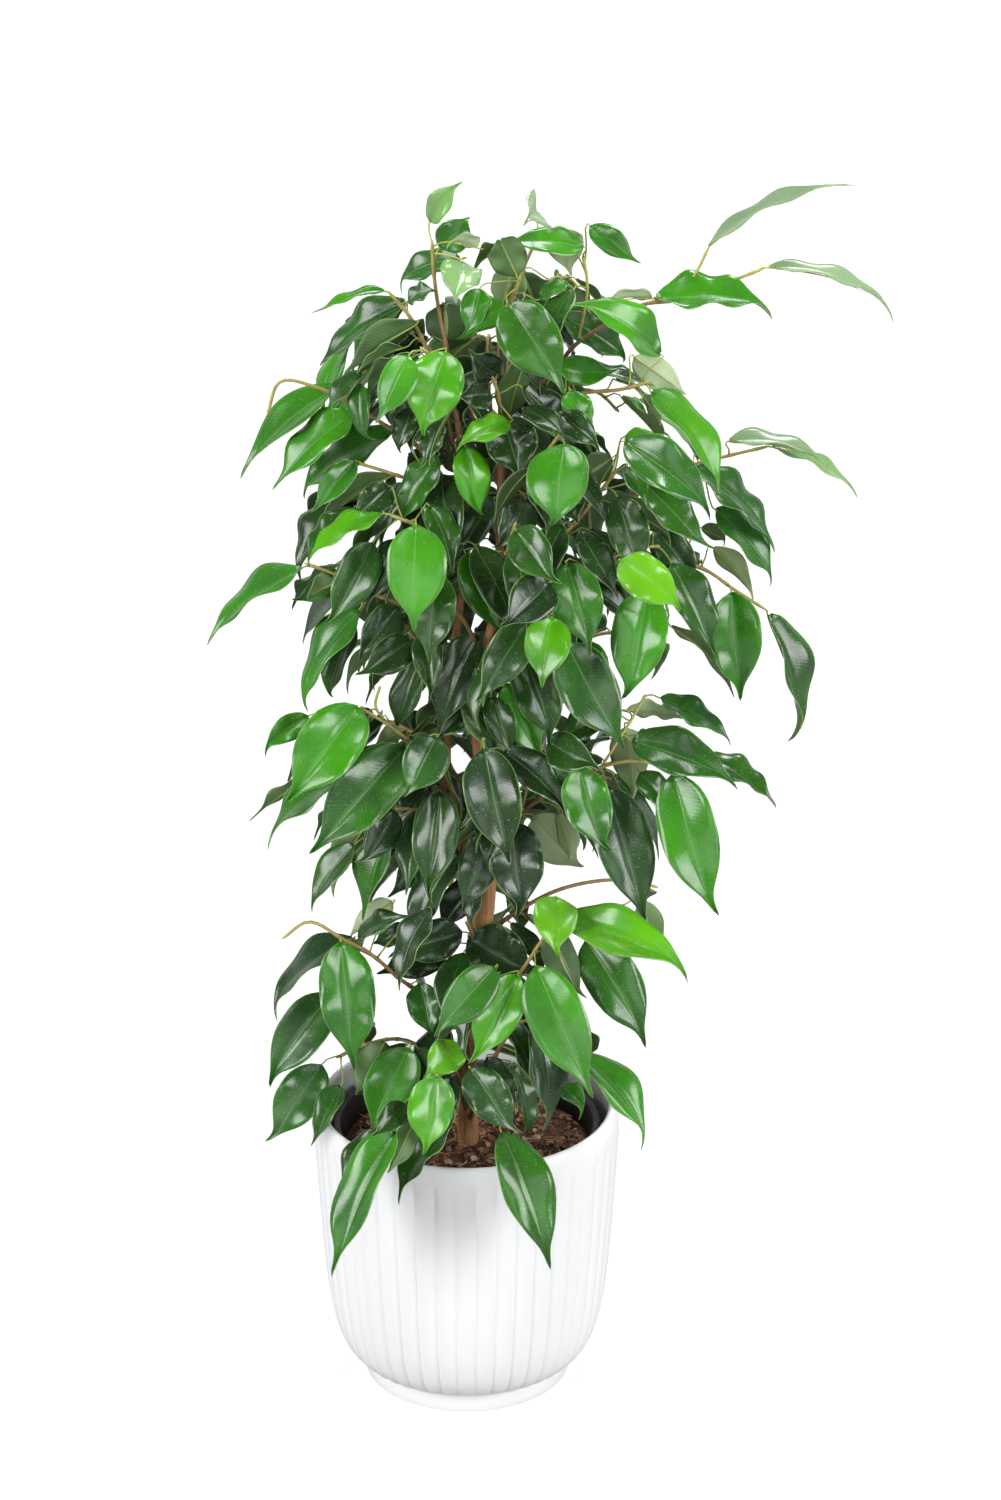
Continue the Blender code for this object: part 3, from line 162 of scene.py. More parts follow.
# Their leaves: how many are tried on a spray, lengths, and the spread of their directions in degrees
HIDDEN_LEAVES = 9
HIDDEN_TRIES = 14
HIDDEN_LENGTHS = (0.056, 0.080)
SIDE_ANGLE = 48.0
SWING = 28.0
ROLL = 20.0
DROP = 0.2
SEED = 11

# Outline of the outer pot as radius and height: outside from its foot up, and inside from its mouth down
POT_OUTSIDE = (
    (POT_FOOT_RADIUS, 0.0), (POT_FOOT_RADIUS, POT_FOOT_HEIGHT), (0.0800, POT_FOOT_HEIGHT + 0.001),
    (0.0915, 0.030), (0.0985, 0.052), (0.1050, 0.1125), (POT_RADIUS, 0.192), (0.1088, 0.207),
    (0.1050, POT_HEIGHT),
)
POT_INSIDE = (
    (0.1036, POT_HEIGHT + 0.001), (0.1020, 0.2125), (POT_RADIUS - POT_WALL - 0.0005, 0.190), (0.0935, 0.050),
    (0.0865, 0.031), (0.0790, POT_FLOOR),
)

# Where on a leaf it is asked what shows: share along its blade and share of its half width
LEAF_MARKS = ((0.1, 0.0), (0.3, 0.8), (0.3, -0.8), (0.6, 0.7), (0.6, -0.7), (0.85, 0.0), (1.0, 0.0))

# Rows of the photograph with the columns between which the crown is dense
DENSE_ROWS = (
    (235, 430, 560), (270, 395, 590), (310, 372, 600), (350, 366, 640), (400, 364, 640), (450, 346, 690),
    (500, 350, 705), (550, 352, 700), (600, 346, 690), (650, 342, 640), (700, 395, 620), (750, 330, 640),
    (800, 342, 620), (850, 350, 575), (900, 350, 540), (950, 372, 570), (1000, 395, 575), (1050, 350, 600),
    (1110, 375, 565),
)


@dataclass(frozen=True)
class Lens:
    """The photograph's camera, which turns a pixel and a depth into a place and back."""

    place: Vector
    pitch: float
    focal_px: float
    centre: tuple[float, float]

    def point(self, px: float, py: float, depth_mm: float) -> Vector:
        """Find the place that shows at a pixel.

        Args:
            px: Pixel column.
            py: Pixel row.
            depth_mm: Depth behind the pot's axis.

        Returns:
            The place in the model.
        """
        forward = Vector((0.0, math.cos(self.pitch), -math.sin(self.pitch)))
        upward = Vector((0.0, math.sin(self.pitch), math.cos(self.pitch)))
        ray = forward + upward * ((self.centre[1] - py) / self.focal_px)
        ray.x = (px - self.centre[0]) / self.focal_px
        return self.place + ray * ((depth_mm * MM - self.place.y) / ray.y)

    def pixel(self, point: Vector) -> tuple[float, float]:
        """Find the pixel at which a place shows.

        Args:
            point: A place in the model.

        Returns:
            Pixel column and row.
        """
        offset = point - self.place
        depth = math.cos(self.pitch) * offset.y - math.sin(self.pitch) * offset.z
        height = math.sin(self.pitch) * offset.y + math.cos(self.pitch) * offset.z
        scale = self.focal_px / depth
        return self.centre[0] + scale * offset.x, self.centre[1] - scale * height


LENS = Lens(CAMERA_PLACE, CAMERA_PITCH, FOCAL_PX, PHOTO_CENTRE)


@dataclass(frozen=True)
class Leaf:
    """One leaf as the photograph shows it.

    base_px, tip_px and across_px are the blade's base, tip and width in pixels, and tone its age from 0, old
    and dark, to 1. A tone above 1 turns the leaf pale grey-green, a painted sheen for the glint that a
    glossy leaf seen at a glancing angle takes from the bright backdrop. near_mm is how far its base stands
    before its twig, under is 1 where its underside shows, and long_mm is the real length of a leaf that
    points at the camera.
    """

    base_px: tuple[int, int]
    tip_px: tuple[int, int]
    across_px: float
    tone: float = 0.4
    near_mm: float = 0.0
    under: int = 0
    long_mm: float = 0.0

    @classmethod
    def read(cls, row: Sequence[float]) -> "Leaf":
        """Read a row of the base's and the tip's two pixels each, then the other fields in their order."""
        return cls(tuple(row[0:2]), tuple(row[2:4]), *row[4:])


@dataclass(frozen=True)
class Spray:
    """A twig that leaves a stem, as points of pixel x, pixel y and depth in mm, with its leaves as rows."""

    name: str
    route: tuple[tuple[int, int, int], ...]
    leaves: tuple[tuple[float, ...], ...]
    sides: tuple[tuple[tuple[int, int, int], ...], ...] = ()


@dataclass(frozen=True)
class Stem:
    """A woody stem, by points of pixel x, pixel y, depth in mm and radius in mm."""

    name: str
    points: tuple[tuple[float, float, float, float], ...]


STEMS = (
    Stem("trunk", (
        (468, 1140, 0, 7.8), (467, 1080, 0, 7.3), (468, 1010, 0, 7.2), (475, 955, -1, 7.8),
        (480, 925, -1, 8.2),
    )),
    Stem("right_leader", (
        (483, 938, -2, 5.6), (489, 885, -4, 5.3), (486, 810, -5, 4.8), (478, 742, -5, 4.6),
        (480, 700, -4, 4.3), (487, 650, -3, 4.0), (496, 605, 0, 3.6), (500, 540, 0, 3.2),
        (501, 470, 0, 2.8), (504, 410, 0, 2.4), (510, 350, 2, 1.9),
    )),
    Stem("left_leader", (
        (477, 938, 0, 5.2), (468, 885, 3, 4.6), (463, 840, 5, 4.2), (451, 800, 7, 3.8),
        (446, 750, 7, 3.4), (450, 680, 5, 3.0), (461, 600, 2, 2.7), (469, 530, -2, 2.4),
        (466, 470, -4, 2.2), (457, 410, -4, 1.8),
    )),
    Stem("back_leader", (
        (480, 935, 2, 4.6), (486, 880, 14, 4.2), (500, 800, 26, 3.8), (515, 710, 33, 3.4),
        (521, 620, 33, 3.0), (521, 530, 30, 2.7), (526, 460, 28, 2.3), (535, 395, 28, 1.8),
    )),
)

# A leaf's row holds its base's and its tip's pixels and then the other fields of Leaf in their order
# Tones above 1 in these rows give a leaf the pale grey-green of a painted sheen, not its age.
SPRAYS = (
    Spray("crown_left", ((457, 420, -4), (447, 350, -2), (437, 300, 0), (433, 262, 0), (432, 240, 0)), (
        (430, 222, 462, 180, 24, 1.2), (440, 248, 470, 214, 34, 0.5, -6),
        (460, 258, 393, 285, 26, 0.4, -10), (463, 262, 452, 304, 42, 1.2, 12, 0, 48),
        (478, 246, 446, 242, 12, 0.9, 8, 1), (446, 342, 443, 298, 44, 0.1, -4, 1),
    )),
    Spray("left_top", ((460, 440, -4), (440, 380, -8), (420, 335, -6), (402, 305, -4), (388, 291, -2)), (
        (384, 290, 313, 317, 9, 0.55), (405, 302, 319, 371, 30, 0.3, -8),
        (417, 322, 346, 378, 28, 0.2, 6, 1), (402, 347, 357, 374, 12, 0.35, 10, 1),
        (408, 300, 438, 290, 18, 0.3, 4),
    )),
    Spray("left_top_front", ((463, 450, -4), (452, 400, -30), (438, 362, -44), (420, 347, -50)), (
        (408, 358, 376, 427, 36, 0.6, 6), (446, 352, 418, 439, 56, 0.75, 10),
        (465, 447, 479, 522, 36, 0.7, 6), (458, 450, 463, 491, 20, 0.3, -8),
    )),
    Spray("crown_centre", (
        (506, 400, 0), (500, 340, -8), (512, 300, -12), (530, 252, -8), (541, 230, -4),
    ), (
        (537, 211, 524, 218, 46, 1.25, 2, 0, 46), (517, 276, 497, 234, 38, 0.35, 4, 1),
        (503, 303, 512, 263, 36, 0.5, 12, 1), (508, 303, 568, 392, 60, 0.35, 30),
        (481, 289, 466, 338, 30, 0.45, 14), (540, 297, 574, 282, 18, 0.5, -4),
    )),
    Spray("crown_core", ((504, 440, 0), (500, 410, -20), (497, 390, -36), (492, 376, -44)), (
        (497, 374, 468, 350, 34, 0.05, -4), (492, 395, 455, 399, 28, 0.15, 4),
        (508, 418, 534, 346, 30, 0.3, -6, 1), (505, 424, 522, 480, 52, 0.15, 14),
        (509, 421, 453, 447, 26, 0.8, 24),
    )),
    Spray("upper_front", ((501, 500, 0), (528, 472, -28), (550, 448, -48), (562, 432, -54)), (
        (564, 444, 557, 532, 62, 0.5, 10), (562, 414, 604, 450, 30, 0.15, -8),
        (565, 489, 579, 524, 34, 0.2, 0), (525, 500, 497, 553, 38, 0.15, 6),
        (524, 408, 570, 441, 24, 0.1, -6),
    )),
    Spray("upper_right_shoot", (
        (512, 400, 2), (545, 382, 2), (577, 343, 0), (612, 321, 0), (645, 304, 0), (690, 299, 0),
        (735, 279, 0), (765, 268, 0),
    ), (
        (708, 246, 854, 183, 13, 1.35), (656, 296, 779, 309, 34, 0.5, 6), (769, 266, 901, 315, 12, 1.3),
        (652, 297, 599, 307, 10, 0.9, -6, 1), (583, 249, 501, 247, 28, 0.5, 6),
        (562, 230, 571, 277, 38, 0.8, -10, 1), (590, 226, 639, 266, 26, 0.45, -8),
        (562, 314, 632, 363, 34, 0.35, -4), (561, 368, 620, 373, 30, 0.55, 10),
    ), sides=(
        ((645, 304, 0), (672, 294, -2), (699, 270, -2), (707, 251, -2)),
        ((577, 343, 0), (586, 300, -2), (587, 276, -2), (583, 255, -2)),
    )),
    Spray("right_upper", ((503, 440, 2), (558, 399, -12), (618, 390, -22), (652, 381, -26)), (
        (661, 353, 572, 299, 38, 0.65, 2), (634, 357, 690, 397, 32, 0.85, -20, 1),
        (652, 391, 724, 497, 32, 0.7, 6), (645, 396, 661, 428, 14, 0.4, -8, 1),
        (572, 373, 655, 389, 14, 0.2, -10), (570, 391, 587, 440, 30, 0.55, 12),
    )),
    Spray("right_front", ((498, 600, 0), (550, 553, -28), (590, 505, -44), (618, 468, -50)), (
        (625, 441, 718, 516, 48, 0.4, 14), (625, 437, 674, 446, 28, 0.85, -2),
        (646, 484, 709, 553, 36, 0.3, -6), (628, 467, 645, 506, 22, 0.35, -2),
        (612, 458, 562, 487, 32, 0.1, -14, 1), (601, 498, 678, 541, 30, 0.1, -20, 1),
        (617, 497, 641, 580, 42, 0.2, 0),
    )),
    Spray("right_front_low", ((498, 620, 0), (545, 592, -30), (590, 569, -52), (618, 562, -62)), (
        (621, 560, 687, 610, 44, 1.0, 10), (648, 590, 627, 706, 56, 0.55, 0),
        (655, 528, 700, 588, 38, 0.15, -16), (672, 563, 713, 657, 40, 0.3, -10),
        (567, 563, 591, 655, 54, 0.4, 12), (580, 532, 618, 600, 30, 0.1, -8),
    ), sides=(((590, 569, -52), (630, 550, -42), (660, 546, -36)),)),
    Spray("right_far", (
        (500, 560, 4), (570, 530, 8), (640, 492, 8), (700, 462, 4), (745, 453, 2), (770, 446, 0),
    ), (
        (729, 440, 833, 466, 14, 1.32, 6), (772, 446, 862, 499, 12, 1.2), (695, 466, 776, 553, 28, 0.35, 4),
        (716, 508, 776, 584, 30, 0.45, 6), (658, 522, 701, 541, 14, 0.4, -12, 1),
    )),
    Spray("right_mid", (
        (500, 600, 4), (560, 577, 0), (630, 562, -5), (695, 566, -8), (735, 590, -8), (768, 611, -8),
    ), (
        (732, 592, 742, 701, 52, 0.5, 6), (770, 614, 798, 747, 26, 0.3),
        (714, 547, 756, 601, 20, 0.6, -6, 1), (672, 625, 733, 698, 16, 0.45, -6, 1),
        (700, 530, 727, 546, 16, 0.2, -10, 1),
    ), sides=(((650, 562, -6), (662, 590, -2), (668, 612, 2)),)),
    Spray("right_low", (
        (485, 840, -2), (520, 813, -18), (556, 790, -30), (600, 767, -42), (635, 761, -46),
        (664, 764, -46),
    ), (
        (632, 740, 742, 785, 46, 0.35, 4), (661, 697, 734, 743, 24, 0.4, -20),
        (627, 709, 690, 724, 16, 0.85, -24, 1), (704, 757, 778, 808, 24, 0.3, -10),
        (673, 774, 715, 921, 58, 0.5, 4), (640, 773, 672, 815, 28, 0.35, -8),
        (625, 728, 637, 803, 38, 0.75, -26, 1), (607, 787, 647, 929, 56, 0.25, 0),
        (579, 768, 606, 856, 48, 0.5, 12), (548, 742, 604, 767, 38, 0.2, 10),
        (560, 812, 570, 865, 22, 0.75, -12, 1),
    ), sides=(
        ((600, 767, -42), (620, 738, -32), (636, 712, -24), (646, 694, -20)),
        ((520, 813, -18), (528, 785, -28), (538, 758, -36)),
    )),
    Spray("centre_front", ((488, 660, -3), (515, 640, -40), (540, 620, -66), (556, 608, -76)), (
        (552, 617, 541, 690, 46, 0.8, 12), (525, 657, 553, 746, 48, 0.25, 0),
        (566, 643, 627, 752, 58, 0.3, 6), (548, 584, 500, 631, 48, 0.05, -12),
        (492, 697, 512, 759, 30, 0.2, -10),
    )),
    Spray("centre_upper", ((500, 590, 0), (505, 560, -35), (512, 535, -58), (516, 522, -64)), (
        (513, 529, 557, 588, 42, 0.3, 6), (467, 553, 499, 639, 38, 0.4, 6),
    )),
    Spray("centre_left", ((487, 650, -3), (465, 622, -30), (445, 600, -50), (432, 586, -56)), (
        (437, 572, 428, 665, 46, 0.3, 10), (425, 631, 433, 701, 30, 0.2, -4),
        (478, 634, 438, 739, 42, 0.1, -14),
    )),
    Spray("left_mid_front", ((464, 570, -2), (440, 542, -28), (414, 524, -46), (390, 515, -48)), (
        (416, 525, 413, 634, 60, 0.6, 10), (381, 513, 306, 561, 22, 0.75, 2),
        (388, 488, 350, 520, 34, 0.15, -12), (352, 508, 303, 566, 22, 0.3, -16),
        (373, 543, 327, 627, 42, 0.35, -4), (430, 506, 453, 576, 30, 0.3, -8),
    )),
    Spray("left_upper", (
        (468, 510, -4), (430, 458, -4), (395, 432, -6), (355, 406, -8), (322, 390, -8), (292, 377, -6),
        (277, 386, -6), (267, 417, -6),
    ), (
        (340, 387, 243, 481, 28, 0.45, -8), (352, 413, 274, 492, 36, 0.6, 8),
        (393, 431, 295, 501, 32, 0.4, -8), (413, 408, 396, 456, 24, 0.15, 8),
        (441, 422, 425, 470, 22, 0.2, 8), (437, 455, 397, 530, 32, 0.35, 12),
        (360, 384, 366, 446, 22, 0.4, 4), (362, 372, 326, 415, 18, 0.3, -6),
    )),
    Spray("left_upper_low", (
        (467, 535, -4), (432, 494, -8), (400, 475, -12), (374, 472, -14), (358, 463, -14),
    ), (
        (355, 461, 312, 514, 28, 0.55), (391, 474, 315, 534, 18, 0.45, -6, 1),
        (448, 490, 405, 499, 14, 0.1, -8),
    )),
    Spray("left_mid", (
        (449, 690, 4), (430, 622, -8), (383, 599, -16), (335, 574, -18), (304, 563, -16),
    ), (
        (301, 567, 207, 645, 24, 0.5), (342, 572, 292, 604, 26, 0.4, -8),
        (335, 581, 305, 601, 16, 0.5, -12, 1), (358, 609, 299, 714, 30, 0.6, 6),
        (398, 607, 354, 661, 38, 0.2, 10), (355, 622, 328, 704, 28, 0.3, -6),
    )),
    Spray("left_mid_low", ((450, 720, 5), (435, 668, -18), (420, 640, -30), (408, 632, -34)), (
        (412, 640, 355, 679, 36, 0.15, 4), (412, 627, 339, 690, 18, 0.45, 8, 1),
        (420, 660, 396, 735, 30, 0.2, -8), (468, 703, 436, 742, 26, 0.15, 4),
    )),
    Spray("left_low", (
        (449, 790, 6), (430, 757, -18), (408, 740, -34), (376, 716, -42), (361, 708, -44),
    ), (
        (359, 707, 285, 806, 64, 0.6, 4), (308, 716, 259, 752, 26, 0.6, -14),
        (320, 777, 252, 822, 14, 0.4, -16, 1), (343, 775, 265, 845, 26, 0.4, -8),
        (406, 747, 308, 859, 70, 0.35, 10), (436, 738, 405, 801, 46, 0.3, 6),
        (400, 728, 372, 745, 20, 0.5, -16, 1),
    ), sides=(
        ((408, 740, -34), (389, 724, -36), (374, 703, -36), (380, 686, -36)),
        ((408, 740, -34), (378, 752, -22), (350, 762, -14), (328, 766, -10)),
    )),
    Spray("left_lower", ((463, 850, 4), (440, 824, -20), (414, 808, -32), (394, 808, -36)), (
        (440, 792, 426, 898, 46, 0.2, 8), (398, 808, 360, 868, 34, 0.1, -4),
        (391, 824, 367, 924, 30, 0.35, 4), (366, 822, 330, 897, 28, 0.55, -10, 1),
        (357, 845, 312, 912, 26, 0.3, -16), (449, 812, 428, 904, 34, 0.15, 14),
        (458, 850, 412, 946, 36, 0.2, 12),
    ), sides=(((414, 808, -32), (392, 822, -16), (372, 836, -6)),)),
    Spray("centre_low", ((480, 760, -4), (482, 748, -35), (484, 738, -50)), (
        (483, 744, 511, 868, 56, 0.12, 6),
    )),
    Spray("centre_lower", ((487, 860, -4), (498, 832, -18), (512, 815, -28), (524, 808, -32)), (
        (512, 822, 524, 917, 54, 0.05, 8), (534, 817, 583, 873, 46, 0.85, -16, 1),
        (520, 797, 556, 785, 14, 0.15, -12),
    )),
    Spray("low_left", (
        (466, 1045, 0), (440, 1009, -12), (408, 986, -20), (376, 958, -26), (352, 943, -28),
        (328, 933, -28), (302, 920, -26), (282, 939, -26),
    ), (
        (341, 942, 354, 1074, 56, 0.45, 8), (352, 937, 266, 1016, 26, 0.15, -6),
        (330, 994, 264, 1087, 48, 0.35, 4), (358, 938, 413, 916, 22, 0.25, -8),
        (392, 901, 345, 936, 26, 0.9, -16, 1), (420, 983, 432, 1041, 34, 0.35, 8),
    )),
    Spray("low_left_rim", (
        (467, 1080, 0), (430, 1052, -20), (390, 1038, -34), (362, 1046, -38), (336, 1058, -38),
    ), (
        (322, 1065, 270, 1146, 46, 0.45), (385, 1042, 355, 1100, 44, 0.3, 6, 1),
        (340, 1085, 314, 1148, 24, 0.3, 24), (409, 1048, 368, 1134, 50, 0.5, 26),
    )),
    Spray("low_front_left", (
        (467, 1100, 0), (458, 1075, -45), (445, 1070, -78), (430, 1088, -94), (414, 1112, -98),
    ), (
        (460, 1045, 422, 1080, 36, 0.9, 0), (437, 1076, 426, 1156, 46, 0.75, 4),
        (452, 1118, 397, 1202, 30, 0.3, 68), (395, 1130, 336, 1278, 42, 0.5, 22),
        (380, 1130, 341, 1200, 26, 0.2, 12), (404, 1103, 372, 1140, 26, 0.2, 0),
        (415, 1120, 390, 1172, 26, 0.4, 14, 1),
    )),
    Spray("low_front", ((467, 1060, 0), (470, 1030, -40), (480, 1000, -58), (500, 972, -66)), (
        (495, 967, 431, 1037, 44, 0.4, 4), (518, 975, 472, 1066, 46, 0.7, 8),
    )),
    Spray("fork_front", ((477, 945, -2), (472, 934, -14), (468, 926, -24), (466, 922, -30)), (
        (468, 938, 540, 975, 56, 0.15, 2), (462, 932, 386, 952, 42, 0.1, -6),
    )),
    Spray("low_right", (
        (468, 1020, 0), (498, 1000, -32), (520, 973, -54), (540, 943, -64), (556, 920, -68),
    ), (
        (536, 966, 593, 1099, 58, 0.55, 12), (556, 897, 554, 959, 44, 1.0, 8),
        (562, 916, 697, 973, 46, 0.8, 6), (586, 940, 650, 1048, 54, 0.3, -8),
        (550, 929, 583, 1001, 34, 0.15, -14, 1), (640, 900, 657, 958, 26, 0.5, 0, 1),
    ), sides=(((540, 943, -64), (585, 925, -52), (625, 904, -40)),)),
    Spray("rim_right", (
        (467, 1095, 0), (500, 1047, -30), (524, 1020, -45), (548, 1022, -52), (572, 1044, -56),
    ), (
        (537, 1022, 547, 1131, 38, 0.15, 8), (507, 1020, 540, 1100, 26, 0.3, 4),
        (582, 1054, 650, 1147, 34, 0.5, 26), (487, 1057, 515, 1120, 26, 0.1, 2),
        (514, 1066, 528, 1140, 20, 0.3, -4), (558, 1083, 586, 1116, 20, 0.5, -10),
    )),
    Spray("rim_front", ((468, 1110, 0), (480, 1082, -50), (492, 1098, -86), (500, 1118, -100)), (
        (502, 1132, 549, 1273, 50, 0.35, 14), (470, 1068, 516, 1137, 42, 0.25, 2),
    )),
)

# Leaves that no solid holds, each with the spray that it grows on
EXTRA_LEAVES = (
    ("fork_front", Leaf((448, 946), (376, 974), 40, 0.05, -18)),
    ("low_left", Leaf((430, 908), (399, 992), 28, 0.1, -12)),
    ("low_left", Leaf((412, 930), (372, 945), 22, 0.2, -6)),
)

# Bases of the leaves that stand further forward than their solids, with how far in mm
FORWARD_LEAVES = (((470, 1068), 38.0), ((621, 560), 16.0))


def walk_route(points: Route, count: int) -> Route:
    """Spread places evenly along the straight stretches between points.

    Args:
        points: The points to walk through.
        count: How many places to give.

    Returns:
        The places, the first and the last point among them.
    """
    lengths = [0.0]
    for start, end in zip(points, points[1:]):
        lengths.append(lengths[-1] + (end - start).length)
    route = []
    index = 0
    for step in range(count):
        target = lengths[-1] * step / (count - 1)
        while index < len(points) - 2 and lengths[index + 1] < target:
            index += 1
        span = max(lengths[index + 1] - lengths[index], 1e-9)
        route.append(points[index].lerp(points[index + 1], min(1.0, (target - lengths[index]) / span)))
    return route


def smooth_route(points: Route, count: int) -> Route:
    """Spread places evenly along a curve through points.

    Args:
        points: The points that the curve goes through.
        count: How many places to give.

    Returns:
        The places along the curve.
    """
    padded = [points[0] * 2 - points[1], *points, points[-1] * 2 - points[-2]]
    dense = []
    for before, start, end, after in zip(padded, padded[1:], padded[2:], padded[3:]):
        for step in range(8):
            t = step / 8
            dense.append(
                0.5 * (
                    2 * start
                    + (end - before) * t
                    + (2 * before - 5 * start + 4 * end - after) * t * t
                    + (3 * start - before - 3 * end + after) * t * t * t
                )
            )
    dense.append(points[-1].copy())
    return walk_route(dense, count)


def nearest_on(route: Route, point: Vector) -> tuple[float, Vector, int, float]:
    """Find the place on a route nearest a point.

    Args:
        route: The route's points.
        point: The point to start from.

    Returns:
        The distance, the place, its stretch's index and its share of the stretch.
    """
    best = None
    for index, (start, end) in enumerate(zip(route, route[1:])):
        along = end - start
        share = max(0.0, min(1.0, (point - start).dot(along) / max(along.length_squared, 1e-12)))
        place = start + along * share
        distance = (point - place).length
        if best is None or distance < best[0]:
            best = (distance, place, index, share)
    return best


def ring_faces(rings: int, sides: int) -> Faces:
    """Join rings of points with four-sided faces.

    Args:
        rings: How many rings there are.
        sides: How many points a ring has.

    Returns:
        The faces.
    """
    faces = []
    for ring in range(rings - 1):
        for side in range(sides):
            here = ring * sides + side
            beside = ring * sides + (side + 1) % sides
            faces.append((here, beside, beside + sides, here + sides))
    return faces


def tube_shell(route: Route, radii: Sequence[float], sides: int = 6) -> Shape:
    """Make a plain tube, which stands for wood when leaves are fitted round it.

    Args:
        route: Places along its middle.
        radii: Its radius at each place.
        sides: Corners of its section.

    Returns:
        Its points and faces.
    """
    points = []
    for index, place in enumerate(route):
        along = (route[min(index + 1, len(route) - 1)] - route[max(index - 1, 0)]).normalized()
        upright = abs(along.z) > 0.9
        across = along.cross(Vector((0.0, float(upright), float(not upright)))).normalized()
        other = along.cross(across)
        for side in range(sides):
            turn = math.tau * side / sides
            points.append(place + (across * math.cos(turn) + other * math.sin(turn)) * radii[index])
    return points, ring_faces(len(route), sides)


def turned_shell(profile: Profile, steps: int = 48) -> Shape:
    """Make a turned wall, which stands for a pot when leaves are fitted round it.

    Args:
        profile: Radius and height along its outline.
        steps: Corners of its round section.

    Returns:
        Its points and faces.
    """
    points = []
    for radius, height in profile:
        for step in range(steps):
            turn = math.tau * step / steps
            points.append(Vector((radius * math.cos(turn), radius * math.sin(turn), height)))
    return points, ring_faces(len(profile), steps)


def lid_shell(radius: float, height: float) -> Shape:
    """Make a flat disc, which stands for the soil.

    Args:
        radius: Its radius.
        height: How high it lies.

    Returns:
        Its points and faces.
    """
    corners = 24
    points = [Vector((0.0, 0.0, height))]
    for step in range(corners):
        turn = math.tau * step / corners
        points.append(Vector((radius * math.cos(turn), radius * math.sin(turn), height)))
    return points, [(0, 1 + step, 1 + (step + 1) % corners) for step in range(corners)]


def crosses_itself(points: Route, faces: Faces) -> bool:
    """Tell whether faces of a shape that share no corner meet."""
    tree = BVHTree.FromPolygons(points, faces)
    return any(not set(faces[one]) & set(faces[other]) for one, other in tree.overlap(tree))


def loft_faces(sections: Sequence[Section], tip: Vector) -> Shape:
    """Make a closed body through triangular sections, up to its tip.

    Args:
        sections: Three corners each.
        tip: Where the body ends.

    Returns:
        Its points and faces.
    """
    points = [point for section in sections for point in section]
    points.append(tip)
    faces = [(0, 1, 2)]
    for ring in range(len(sections) - 1):
        for here, beside in ((0, 1), (1, 2), (2, 0)):
            low, high = ring * 3 + here, ring * 3 + beside
            if here == 2:
                faces.append((low, low + 3, high + 3))
                faces.append((low, high + 3, high))
            else:
                faces.append((low, low + 3, high))
                faces.append((high, low + 3, high + 3))
    last = (len(sections) - 1) * 3
    for here, beside in ((0, 1), (1, 2), (2, 0)):
        faces.append((last + here, len(points) - 1, last + beside))
    return points, faces


class Solid:
    """A closed shape's search tree and box, for quick tests of what it touches."""

    def __init__(self, points: Route, faces: Faces, owner: str = "") -> None:
        """Keep a shape's tree and box.

        Args:
            points: The shape's points.
            faces: The shape's faces.
            owner: The spray that the shape belongs to.
        """
        self.tree = BVHTree.FromPolygons(points, faces)
        self.owner = owner
        self.low = [min(p[axis] for p in points) for axis in range(3)]
        self.high = [max(p[axis] for p in points) for axis in range(3)]

    def touches(self, other: "Solid") -> bool:
        """Tell whether the surfaces of two shapes meet.

        Args:
            other: The other shape.

        Returns:
            True if they do.
        """
        for axis in range(3):
            if self.low[axis] > other.high[axis] or other.low[axis] > self.high[axis]:
                return False
        return bool(self.tree.overlap(other.tree))


